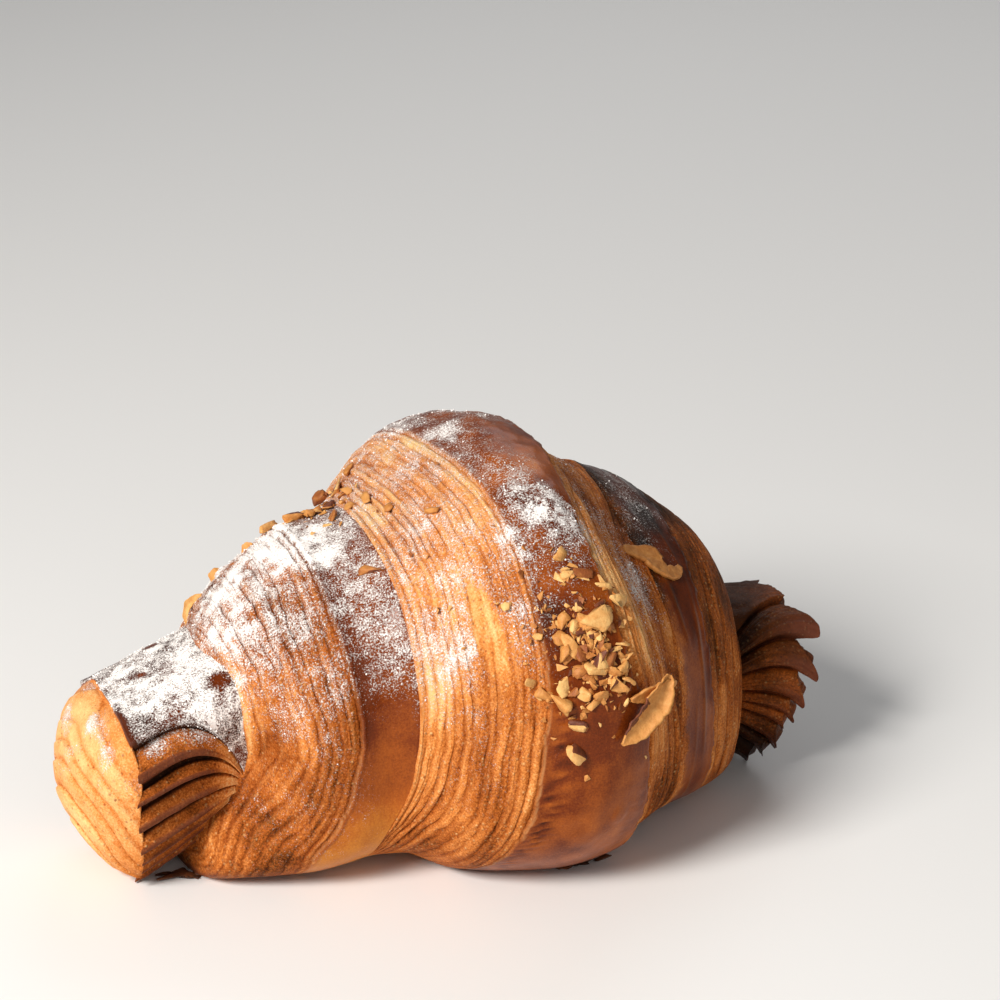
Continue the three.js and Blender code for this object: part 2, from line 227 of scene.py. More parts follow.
sugarDrifts = (
    (-58, 90, 9, 45, 1), (-43, 86, 7, 26, 0.85), (-33, 94, 7, 24, 0.95), (-26, 84, 5, 18, 0.9),
    (-44, 60, 6, 18, 0.62), (-37, 62, 5, 18, 0.5), (-38, 36, 8, 16, 0.46), (-30, 54, 4, 14, 0.42),
    (-25.5, 58, 3.5, 9, 0.5), (-16, 36, 5, 20, 0.56), (-10, 46, 4, 12, 0.42), (-5.4, 36, 2.6, 15, 0.5),
    (-4, 50, 3, 9, 0.7), (-14, 72, 6, 14, 0.5), (-8, 90, 5, 14, 0.5), (-8, 62, 3, 8, 0.42),
    (3, 58, 5, 7, 0.6), (8, 51, 5, 6, 0.5), (2, 72, 6, 6, 0.5), (1, 96, 5, 8, 0.62), (22, 62, 6, 22, 0.32),
    (19, 44, 3, 14, 0.28), (21, 33, 6, 20, 0.26), (23.5, 40, 5, 13, 0.5), (6, 46, 6, 9, 0.3),
    (-40, -4, 9, 26, 0.18), (-11, 6, 7, 22, 0.14), (34, 82, 5, 22, 0.3), (-40, 122, 9, 26, 0.8),
    (-22, 120, 6, 18, 0.6), (-2, 118, 7, 16, 0.6), (9, 112, 5, 14, 0.5), (-9, 142, 6, 14, 0.4),
    (22, 104, 6, 18, 0.35),
)


def sugarOn(at, turn, points):
    degrees = np.degrees(turn)
    up = easeStep(0.05, 0.95, np.sin(turn))
    amount = (0.34 * easeDown(-4, 14, at) + 0.04) * up
    ragged = 0.40 * softNoise(points, 4.5, 13.0) + 0.40 * softNoise(points, 1.9, 14.0)
    for driftAt, driftTurn, reachAlong, reachRound, thick in sugarDrifts:
        off = ((at - driftAt) / reachAlong) ** 2 + ((degrees - driftTurn) / reachRound) ** 2
        amount = np.maximum(amount, thick * np.exp(-0.7 * np.clip(np.sqrt(off) + ragged, 0.0, None) ** 2.2))
    slant = degrees - 57.0  # a torn clump on the middle skin, under the walnuts of the top
    clump = np.exp(-(((at - 5.0 + 0.35 * slant) / 7.2) ** 2) - (slant / 10.0) ** 2)
    torn = 0.7 * softNoise(points, 2.2, 17.0, (0.6, 1, 1)) + 0.5 * softNoise(points, 0.9, 18.0)
    amount = np.maximum(amount, clump * easeStep(-0.35, 0.45, torn + 0.5 * clump - 0.08))
    veil = easeStep(17, 27, degrees + 3.0 * softNoise(points, 3.0, 15.0)) * easeDown(120, 150, degrees)
    veil = veil * easeStep(-30.2, -27.0, at) * easeDown(-20.5, -19.0, at)
    amount = np.maximum(amount, 0.45 * veil)  # an even film on the near skin
    patchy = 1.0 + 0.25 * softNoise(points, 5.0, 3.0) + 0.32 * softNoise(points, 1.8, 5.0)
    return np.clip(amount * patchy, 0.0, 1.2)


# the way along the crust, in mm, which is longer than along the roll where the roll swells

pathAt = np.linspace(-50.0, 53.0, 2061)
pathOut = 0.25 * (alongRoll(1, pathAt) * roll["width"] + alongRoll(2, pathAt) * roll["height"])
pathLong = np.concatenate([[0.0], np.cumsum(np.hypot(np.diff(pathAt), np.diff(pathOut)))])


def crustPath(at):
    return np.interp(at, pathAt, pathLong)


# cut layer edges: uneven sheets that pinch and widen as they run round the roll

def layerEdges(band, turn):
    widths = []
    for layer in range(band["layers"]):
        mark = band["seed"] * 10 + layer * 2.37
        wave = waveRound(turn, mark, (1, 2, 3, 4), 0.35)
        wave = wave + 0.5 * waveRound(turn, mark + 4.1, (11, 17, 29, 43), 0.35)
        widths.append((0.7 + 0.6 * draw(mark + 0.9)) * np.exp(band["pinch"] * wave))
    edges = np.cumsum(np.concatenate(widths), axis=0)
    return np.concatenate([np.zeros((1, turn.size)), edges / edges[-1]])


def layerPlace(across, edges):
    index = np.zeros(across.shape, int)
    for edge in edges[1:-1]:
        index += across >= edge
    start = np.take_along_axis(edges, index, axis=0)
    end = np.take_along_axis(edges, index + 1, axis=0)
    return index, np.clip((across - start) / (end - start), 0.0, 1.0), end - start


# how a lip swings aside: most in mm, then the degrees where it starts, is full, holds and ends

straight = (0, 0, 1, 2, 3)
rightSwing = (5.6, -6, 22, 40, 85)  # the right lip of the middle skin swings in under the walnuts
leftSwing = (-5, 6, -34, -60, -88)  # low down the middle turn's left end swings out over the near turn
nearSwing = (6.5, 14, -28, -60, -88)  # and the near turn's lip with it


def swing(bow, degrees):
    most, start, full, hold, end = bow
    return most * easeStep(start, full, degrees) * easeDown(hold, end, degrees)


def cutEdges(band, at, turn):
    low, high = crustPath(band["low"]), crustPath(band["high"])
    span = high - low
    wander = band["wander"] * waveRound(turn, band["seed"], (2, 3, 5, 7), 0.7) / abs(span)
    run = crustPath(at) + swing(band["bow"], np.degrees(turn))
    across = (run - low) / span + wander
    index, part, share = layerPlace(np.clip(across, 0.0, 0.9999), layerEdges(band, turn))
    strong = draw(band["seed"] * 3 + index * 1.91)
    level = 0 * at
    spot = np.stack([index * 9.7, turn * 3.4 + level, level + band["seed"]], -1)
    fade = softNoise(spot, 1.0, 2.0)  # each edge stands up in some places and lies flat in others
    ripple = softNoise(spot, 1.0, 4.0, (1, 3.1, 1))
    lower = blendTo(1.0, 0.35, easeStep(-0.25, 0.7, np.sin(turn)))
    stand = np.clip(0.55 + 0.5 * (strong - 0.5) + 0.75 * fade + 0.2 * ripple, 0.08, 1.3)
    stand = blendTo(stand, np.clip(stand, 0.6, 1.3), lower)
    depth = band["depth"] * stand * (1.0 + band["pillow"] * lower) * np.clip(share * band["layers"], 0.3, 1.3)
    depth = depth * (1.0 + band["steps"] * easeStep(0.72, 0.97, np.sin(turn)))  # steps on top of the roll
    wide = share * abs(span)
    fromEdge, toNext = part * wide, (1.0 - part) * wide  # mm from this sheet's free edge and to the next
    rounded = np.clip(1.0 - np.abs(2.0 * part ** 0.8 - 1.0) ** 2.4, 0.0, 1.0) ** 0.7
    sheet = blendTo(easeStep(0.0, 0.30, fromEdge) * (1.0 - 0.45 * part), rounded * (1.0 - 0.25 * part), lower)
    flat = np.stack([run, 38.0 * turn + level, level + 7.0 * band["seed"]], -1)
    flat[..., 0] += 0.5 * softNoise(flat, 1.0, 31.0, (0.1, 0.15, 1))
    flake = (0.6 * softNoise(flat, 1.0, 32.0, (0.8, 0.09, 1))
             + 0.4 * softNoise(flat, 1.0, 33.0, (1.8, 0.19, 1)))
    crack = hump(softNoise(flat, 1.0, 34.0, (0.6, 0.07, 1)), 0.0, 0.08)
    tooth = (0.3 * waveRound(turn, band["seed"] + 8, (37, 53, 71, 97), 0.1)
             + 0.35 * waveRound(turn, band["seed"] + 9, (13, 19, 29), 0.2))
    shadowed = np.clip(easeDown(0.0, 0.45, fromEdge) + easeDown(0.0, 0.35, toNext), 0, 1)
    highlightLine = hump(fromEdge, 0.5, 0.25) * np.clip(stand, 0, 1)
    return {
        "relief": depth * (1.9 * sheet - 1.1) + band["flaky"] * (flake - 0.35 * crack) - band["sunk"],
        # painted shade along each sheet's free edge and in the cracks between flakes
        "groove": np.clip(band["lines"] * (shadowed * np.clip(0.1 + 0.8 * stand, 0.1, 1) * (0.3 + 0.5 * lower)
                                           + 0.5 * crack * np.clip(0.7 - fade, 0.1, 1.0)), 0, 1),
        # painted highlight along each sheet's free edge
        "edge": np.clip(highlightLine * (0.6 - 0.4 * lower) * band["lines"], 0, 1),
        # random tone for each layer, and painted shade: darker in the valleys between sheets, lighter where
        # sheets and flakes stand up
        "toneAndShade": (1.4 * draw(index * 4.3 + band["seed"]) - 0.7 + 0.4 * ripple + 0.3 * fade
                 - 1.6 * (sheet - 0.55) - 2.0 * flake),
        "lipOff": (across - 1.0) * abs(span) + band["teeth"] * tooth,
    }


# one turn of the roll: cut edges at one or both ends and a glazed skin between them

columnsRound = {"tray": 9, "shown": 232, "from": -52, "to": 232}  # few columns where it lies on the tray


def turnAngles():
    low, high, tray = columnsRound["from"], columnsRound["to"], columnsRound["tray"]
    degrees = np.concatenate([np.linspace(-90, low, tray, endpoint=False),
                              np.linspace(low, high, columnsRound["shown"] + 1),
                              np.linspace(high, 270, tray + 1)[1:]])
    return np.radians(degrees)[None, :]


def runRows(*runs):  # each run: from, to, rows, even along the crust
    rows = []
    for first, last, count in runs:
        steps = np.linspace(0.0, 1.0, count, endpoint=False)
        rows.append(np.interp(blendTo(crustPath(first), crustPath(last), steps), pathLong, pathAt))
    return np.concatenate(rows + [np.array([runs[-1][1]])])


def foldWave(at, degrees, points, step):
    return np.sin(wholeTurn * degrees / step + 2.2 * softNoise(points, 3.0, 61.0) + 0.5 * at)


def skinRelief(piece, at, turn, points):
    relief = 0.10 * softNoise(points, 6.0, piece["seed"]) + 0.05 * softNoise(points, 2.4, piece["seed"] + 1)
    # the top skin dries unevenly
    crags = 0.7 * softNoise(points, 3.4, 83.0) + 0.4 * softNoise(points, 1.9, 84.0)
    relief = relief + piece["crag"] * easeStep(0.60, 0.88, np.sin(turn)) * crags
    for blisterAt, blisterTurn, radius, height in piece["blisters"]:
        here = rollPoint(np.array(float(blisterAt)), np.radians(float(blisterTurn)), 0.0)
        off = np.linalg.norm(points - here, axis=-1) / radius
        relief = relief + height * np.exp(-off ** 4) * (0.55 + 0.45 * off ** 2)
    for middleAt, reachAt, fromTurn, toTurn, step, height in piece["wrinkles"]:
        degrees = np.degrees(turn)
        window = between(fromTurn, fromTurn + 10, toTurn - 10, toTurn, degrees)
        relief = relief + height * window * hump(at, middleAt, reachAt) * foldWave(at, degrees, points, step)
    return relief


def scorched(points):  # only the rim that met the tray
    dark = easeStep(0.35, 0.75, softNoise(points, 4.0, 17.0))
    return dark * easeDown(1.5, 5.0, points[..., 2]) * 0.8


def tornPatch(at, degrees, points):  # where the top sheet of the large cut band has come away
    slant = at + 10.2 + 0.06 * (degrees - 33.0)
    off = np.hypot(slant / 1.9, (degrees - 33.0) / 13.0) + 0.22 * softNoise(points, 1.0, 51.0, (1, 0.4, 0.4))
    return easeDown(0.7, 1.1, off)


def wrapTurn(name, piece):
    turn = turnAngles()
    degrees = np.degrees(turn)
    at = piece["rows"][:, None] + 0.0 * turn
    held = np.clip(at, *piece["clip"])
    plain = rollPoint(held, turn, 0.0)
    relief = piece["proud"] + skinRelief(piece, at, turn, plain)
    skin = np.ones(at.shape)
    groove, edge, toneAndShade = np.zeros((3,) + at.shape)
    for band in piece["bands"]:
        cut = cutEdges(band, at, turn)
        lip = cut["lipOff"]
        bare = easeDown(-0.14, 0.14, lip)
        relief = blendTo(relief + band["bead"] * hump(lip, 0.45, 0.55), cut["relief"], bare)
        skin = skin * (1.0 - bare)
        # and a dark line just inside the cut side of the lip: painted shade under it
        groove = np.maximum(blendTo(groove, cut["groove"], bare), 0.7 * hump(lip, -0.3, 0.22))
        shine = np.clip(0.55 + 0.4 * waveRound(turn, band["seed"] + 3, (7, 12, 19, 31), 0.4), 0.05, 1.0)
        edge = np.maximum(edge * (1 - bare), cut["edge"] * bare)
        # a pale line along the lip: painted highlight
        edge = np.maximum(edge, band["pale"] * shine * hump(lip, 0.12, 0.14))
        toneAndShade = blendTo(toneAndShade, cut["toneAndShade"], bare)
    for ridgeAt, height in piece["ridges"]:
        off = at - ridgeAt - 0.7 * waveRound(turn, ridgeAt, (3, 5, 8), 0.5)
        shown = np.clip(0.5 + 0.5 * waveRound(turn, ridgeAt + 2.0, (4, 7, 11), 0.3), 0.0, 1.0)
        relief = relief + height * shown * hump(off, 0.0, 0.45)
        # painted highlight along the top of the ridge
        edge = np.maximum(edge, 0.14 * shown * hump(off, 0.0, 0.3))
    skin = skin * easeStep(piece["frayed"], piece["frayed"] + 2.6, at + 1.1 * softNoise(plain, 1.6, 71.0))
    for dentAt, dentTurn, reachAlong, reachRound, deep in piece["dents"]:
        beside = easeDown(dentAt, dentAt + reachAlong, at)
        relief = relief - deep * hump(degrees, dentTurn, reachRound) * beside
    torn = tornPatch(at, degrees, plain) if piece["torn"] else 0.0
    relief = blendTo(relief, 0.7 * relief - 0.22, torn)
    groove = groove * (1 - 0.6 * torn)
    for end, sense in piece["tucks"]:  # an end proud of the next turn, tucked in under its lip
        off = (at - end) * sense
        relief = relief + 0.55 * np.exp(-off / 1.6) * (off >= 0)
        relief = np.where(off < 0, relief + off * 9.0, relief)
    for end, sense, bow in piece["unders"]:  # an end that goes on under the next turn
        off = np.clip((end + swing(bow, degrees) - at) * sense, 0.0, None)
        relief = relief - 0.5 * off * easeStep(0, 0.5, off)
    aside = swing(piece["sweep"], degrees) * easeDown(*piece["sweptRun"], at)
    points = rollPoint(held + aside, turn, relief)
    points[..., 0] += at - held
    return shellFromGrid(name, points, {
        "skin": skin, "groove": groove, "edge": edge, "toneAndShade": toneAndShade, "bakeAndShade": piece["bakeAndShade"](at, degrees, plain),
        "sugar": sugarOn(at, turn, plain) * (1.0 - 0.8 * groove) * (1.0 - 0.9 * torn),
        "along": at * mm, "around": turn * 0.035, "burnt": scorched(plain),
    })


plainTurn = {
    "tucks": (), "unders": (), "sweep": straight, "sweptRun": (0, 1), "wrinkles": (), "dents": (), "ridges": (),
    "frayed": -99, "torn": False,
}


def bakeAndShadeMiddle(at, degrees, points):
    # low: painted shade, darker towards the tray
    low = easeDown(3, 26, points[..., 2])
    streaky = softNoise(points, 3.6, 44.0, (1, 0.35, 0.35))
    top = between(25, 60, 130, 190, degrees)
    over = at + swing(rightSwing, degrees)
    cut = 0.44 - 0.09 * easeStep(6, 12, at) + 0.12 * easeStep(19, 30, at) + 0.06 * low
    cut = cut + 0.12 * softNoise(points, 13.0, 4.0) + 0.14 * streaky - 0.16 * top * easeDown(-6, 6, at)
    cut = cut + (0.11 - 0.15 * between(8, 28, 38, 64, degrees)) * easeStep(12, 18, over)
    cut = cut + 0.12 * easeStep(18, 26, at) * easeDown(-10, 8, degrees)
    cut = cut - 0.16 * hump(at, -18, 3) * easeStep(-60, -20, -np.abs(degrees))
    skin = 0.52 - 0.07 * top + 0.20 * softNoise(points, 8.0, 6.0) + 0.10 * softNoise(points, 2.6, 7.0)
    skin = skin + 0.14 * hump(at, 6, 6) * hump(degrees, 54, 13)  # painted shade of the walnuts on the skin, under them and above them
    skin = skin + 0.22 * hump(at, 4.5, 6.5) * hump(degrees, 17, 20)
    # blotches, and painted shade in the fold troughs beside the left lip
    foldShade = 0.20 * softNoise(points, 1.0, 52.0, (0.3, 1, 1))
    foldShade = foldShade - 0.13 * foldWave(at, degrees, points, 2.2) + 0.02
    skin = skin + hump(at, -0.6, 1.7) * between(-60, -40, 8, 30, degrees) * foldShade
    onSkin = easeStep(-4, -2, at) * easeDown(14.4, 16.2, over)
    return np.clip(blendTo(cut, skin, onSkin) - 0.12 * tornPatch(at, degrees, points), 0, 1)


middleTurn = {
    **plainTurn, "seed": 2, "proud": 0.45, "clip": (-20, 30), "crag": 0.45,
    "rows": runRows((-20.6, -19.6, 10), (-19.6, -2.4, 186), (-2.4, 9, 34), (9, 29.6, 156), (29.6, 30.6, 8)),
    "bands": (
        {"low": -20, "high": -3, "layers": 12, "seed": 1.3, "depth": 0.32, "pinch": 0.17, "wander": 0.5,
         "teeth": 0.4, "bead": 0.12, "pillow": 0.45, "pale": 0.6, "flaky": 0.30, "lines": 0.7, "sunk": 0,
         "steps": 1.5, "bow": straight},
        {"low": 30, "high": 15.6, "layers": 7, "seed": 6.7, "depth": 0.22, "pinch": 0.18, "wander": 0.5,
         "teeth": 0.9, "bead": 0.1, "pillow": 0.3, "pale": 0.35, "flaky": 0.46, "lines": 0.8, "sunk": 0.3,
         "steps": 0.7, "bow": rightSwing},
    ),
    "tucks": ((-20, 1), (30, -1)), "sweep": leftSwing, "sweptRun": (-20, -4),
    # along, turn, radius, height
    "blisters": ((11, -32, 1.7, 0.3), (7, -22, 2.4, 0.2), (3, -12, 2, 0.2), (10.5, -15, 1.5, 0.4),
                 (9, 66, 2.6, 0.35), (4, 80, 3, 0.3), (10, 96, 2.4, 0.3), (2, 112, 2.8, 0.35),
                 (8, 134, 2.2, 0.3), (4, 160, 2.5, 0.3), (11, 178, 2, 0.25)),
    # along, reach, from, to, step round in degrees, height
    "wrinkles": ((-0.4, 1.8, -52, 14, 2.2, 0.34), (13, 1.6, -40, 20, 3.1, 0.12)),
    "bakeAndShade": bakeAndShadeMiddle, "torn": True,
}


def bakeAndShadeNear(at, degrees, points):
    # low: painted shade, darker towards the tray
    low = easeDown(2, 22, points[..., 2])
    streaky = softNoise(points, 3.6, 45.0, (1, 0.35, 0.35))
    cut = 0.55 + 0.12 * softNoise(points, 12.0, 8.0) + 0.10 * streaky + 0.07 * low
    cut = cut + 0.06 * easeStep(-46, -34, at)
    drift = 14.0 * softNoise(points, 9.0, 2.0) + 2.0 * (at + 25)
    front = between(-44, -4, 170, 225, degrees + drift)
    skin = 0.12 + 0.30 * front + 0.16 * between(-8, 30, 140, 190, degrees) + 0.09 * softNoise(points, 7.0, 2.6)
    over = at + swing(nearSwing, degrees)
    skin = skin + 0.14 * hump(over, -29.4, 1.8) * front
    rim = hump(at, -46.6, 1.1) * between(8, 24, 62, 84, degrees)  # golden beside the tip
    return np.clip(blendTo(cut, skin, easeStep(-32, -30, over)) - 0.24 * rim, 0, 1)


nearTurn = {
    **plainTurn, "seed": 4, "proud": 0.35, "clip": (-50, -20), "crag": 0.15,
    "rows": runRows((-50, -30.4, 250), (-30.4, -20.4, 50), (-20.4, -14, 10)),
    "bands": (
        {"low": -50, "high": -31, "layers": 12, "seed": 3.9, "depth": 0.34, "pinch": 0.16, "wander": 0.4,
         "teeth": 0.25, "bead": 0.3, "pillow": 0.4, "pale": 0.5, "flaky": 0.20, "lines": 0.95, "sunk": 0,
         "steps": 1, "bow": nearSwing},
    ),
    "unders": ((-20, -1, leftSwing),),
    "blisters": ((-27, 20, 2.2, 0.2), (-24, 48, 2, 0.2), (-26, 130, 2.4, 0.3)),
    "dents": ((-46, 4, 7, 30, 9.5),), "bakeAndShade": bakeAndShadeNear,  # pressed in beside the tip
}


def bakeAndShadeFar(at, degrees, points):
    # darker on top: partly dark baking, partly painted shadow
    top = between(-5, 65, 120, 200, degrees)
    streaky = softNoise(points, 2.4, 46.0, (1, 0.3, 0.3))
    cut = 0.53 + 0.26 * top + 0.12 * softNoise(points, 8.0, 12.0) + 0.14 * streaky
    skin = 0.46 + 0.40 * top + 0.16 * softNoise(points, 7.0, 9.0) + 0.20 * streaky
    return np.clip(blendTo(skin, cut, easeStep(38, 42, at)) + 0.04 * hump(degrees, -2, 14), 0, 1)


farTurn = {
    **plainTurn, "seed": 7, "proud": 0.35, "clip": (30, 53), "crag": 0.25,
    "rows": runRows((24, 30.4, 10), (30.4, 39.4, 56), (39.4, 53, 190)),
    "bands": (
        {"low": 53, "high": 40, "layers": 7, "seed": 5.2, "depth": 0.20, "pinch": 0.18, "wander": 0.4,
         "teeth": 0.7, "bead": 0.15, "pillow": 0.2, "pale": 0.1, "flaky": 0.34, "lines": 0.7, "sunk": 0.2,
         "steps": 1, "bow": straight},
    ),
    "unders": ((30, 1, straight),), "blisters": ((35, 24, 2, 0.2), (36, 150, 2.4, 0.3)),
    "ridges": ((34.2, 0.20), (37.4, 0.24)), "frayed": 30.4, "bakeAndShade": bakeAndShadeFar,
}

middlePiece = wrapTurn("middleTurn", middleTurn)
nearPiece = wrapTurn("nearTurn", nearTurn)
farPiece = wrapTurn("farTurn", farTurn)
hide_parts("croissant")


# the tips: a skin over the top, shingled layer edges down both sides, and a domed end

nearTip = {
    # along, across, height, half width, half height
    "side": -1, "neck": (-42, 6, 27.5, 18, 16.5), "rim": (-66, 5, 17.2, 20.5, 17), "heart": (-55, 6, 18),
    "lean": 0.06, "taper": 0.28, "domeDepth": 10.5, "domeY": 7, "domeZ": 16.5,
    "domePower": 1.65, "domePowerUnder": 1.7, "front": 3.5, "back": 2.3,
    # degrees from the top where the skin ends, then the span of each rib
    "from": 46, "spansFront": (23, 14, 18, 14, 10, 8, 8, 10, 14, 15),
    "spansBack": (13, 14, 12, 13, 12, 11, 12, 15, 16, 16),
    "depth": 2.4, "tooth": 1.7, "gather": 0.06, "arch": 3.2, "start": 0.16, "towards": 118,
    "skinRib": 0.8, "skinTooth": 0.3, "columns": 412, "share": (0.27, 0.45), "flareRows": 110, "domeRows": 124,
}
farTip = {
    "side": 1, "neck": (46, 5, 20.5, 13.5, 13.5), "rim": (62, 0.6, 16.4, 19, 15.4), "heart": (55, 2, 17),
    "lean": 0.4, "taper": 0.04, "domeDepth": 5, "domeY": 1, "domeZ": 17,
    "domePower": 1.6, "domePowerUnder": 1.6, "domeRibs": 0.6, "front": 2.1, "back": 2.1,
    "from": 10, "spansFront": (33, 22, 21, 11.5, 8.5, 16, 12, 24, 22),
    "spansBack": (22, 17, 20, 14, 18, 16, 20, 19, 24),
    "depth": 3, "tooth": 4, "gather": 0.3, "arch": 1.6, "start": 0.2, "towards": 104,
    "skinRib": 0.8, "skinTooth": 0.3, "columns": 440, "share": (0.38, 0.44), "flareRows": 130, "domeRows": 80,
}
rimRows = {"from": 0.84, "count": 50}  # rows closest together before the rim


def tipColumns(tip):
    degrees = np.interp(np.linspace(0.0, 1.0, tip["columns"] + 1), (0.0,) + tip["share"] + (1.0,),
                        (-180, -tip["from"], tip["from"], 180))[None, :]  # closest together on the front
    bent = np.abs(degrees)
    part, index = np.zeros_like(bent), np.zeros(bent.shape, int)
    reach, wide = np.ones_like(bent), np.ones_like(bent)
    for sense, spans in ((-1, tip["spansBack"]), (1, tip["spansFront"])):
        spans = np.array(spans)
        edges = tip["from"] + np.concatenate([[0.0], np.cumsum(spans)])
        reaches = 1 + 0.35 * spreadDraw(sense * 17 + np.arange(len(spans)) * 2.9)
        here = degrees * sense >= tip["from"]
        k = np.clip(np.searchsorted(edges, bent, side="right") - 1, 0, len(spans) - 1)
        part = np.where(here, (bent - edges[k]) / spans[k], part)
        reach = np.where(here, reaches[k], reach)
        wide = np.where(here, spans[k] / 14.0, wide)
        index = np.where(here, k + 20 * (sense + 2), index)
    return degrees, np.clip(part, 0, 1), reach, bent < tip["from"], index, wide


def tipRound(tip, degrees, flare):  # where each column of a tip stands round it, drawn together at the neck
    along = np.clip((flare - tip["start"]) / (1.0 - tip["start"]), 0.0, 1.0)
    gather = 1.0 - (1.0 - tip["gather"]) * (1.0 - along) ** tip["arch"]
    bent = np.abs(degrees)
    first = tip["towards"] + (tip["from"] - tip["towards"]) * gather
    below = np.clip((bent - tip["towards"]) / (180.0 - tip["towards"]), 0, 1)
    onRibs = blendTo(tip["towards"] + (bent - tip["towards"]) * gather, bent, below)
    return np.radians(np.sign(degrees) * np.where(bent < tip["from"], bent / tip["from"] * first, onRibs))


def tipBody(tip, angle, flare, dome, out=0.0, tooth=0.0):
    size = [blendTo(first, last, flare) for first, last in zip(tip["neck"], tip["rim"])]
    c, s = np.cos(angle), np.sin(angle)
    square = np.where(s >= 0, tip["front"], tip["back"])
    polar = (np.abs(c) ** square + np.abs(s) ** square) ** (-1.0 / square)
    narrow = 1.0 - tip["taper"] * (1 - c) * 0.5
    y = size[1] - (size[3] * polar * narrow + out) * s
    z = size[2] + (size[4] * polar + out) * c
    power = 2.0 / blendTo(tip["domePower"], tip["domePowerUnder"], (1 - c) / 2)
    shrink = np.cos(dome * np.pi / 2) ** power
    swell = np.sin(dome * np.pi / 2) ** power
    x = size[0] + tip["side"] * (flare * tip["lean"] * (z - tip["rim"][2]) * shrink + tooth * shrink
                                 + tip["domeDepth"] * swell)
    return np.stack([x, blendTo(tip["domeY"], y, shrink), blendTo(tip["domeZ"], z, shrink)], -1)


def tipRows(tip):
    rim, count = rimRows["from"], rimRows["count"]
    flare = np.concatenate([np.linspace(0, rim, tip["flareRows"] - count, endpoint=False),
                            np.linspace(rim, 1, count)])
    dome = 1.0 - np.linspace(1, 0, tip["domeRows"] + 1)[1:] ** 1.3
    return (np.concatenate([flare, np.ones(dome.size)])[:, None],
            np.concatenate([np.zeros(flare.size), dome])[:, None])


def tipOutward(tip, angle, flare, dome):  # unit directions out of a tip's plain body
    points = tipBody(tip, angle, flare, dome)
    facing = np.cross(np.gradient(points, axis=1), np.gradient(points, axis=0))
    facing = facing / (np.linalg.norm(facing, axis=-1, keepdims=True) + 1e-9)
    return facing * np.sign(np.sum(facing * (points - np.array(tip["heart"])), axis=-1, keepdims=True))


# the near tip: an arched glossy skin, brown-edged shingles and a pale end with soft pleats

lobes = {
    "edges": (0, 8, 13, 18, 21.4, 24.9, 29.5, 34, 60),  # arches nested on the pale end, mm
    "y": 4.5, "z": 4, "squeeze": 1.63, "depth": 0.7,
}
bareSpots = ((-50.2, -7.8, 38.9, 2.1), (-60.5, 4, 36.5, 1.2), (-47.5, 6, 43, 1.5), (-55.5, 14, 38.5, 1.6))
topShingles, nextShingles = (20, 60), (21, 61)  # at the back and at the front


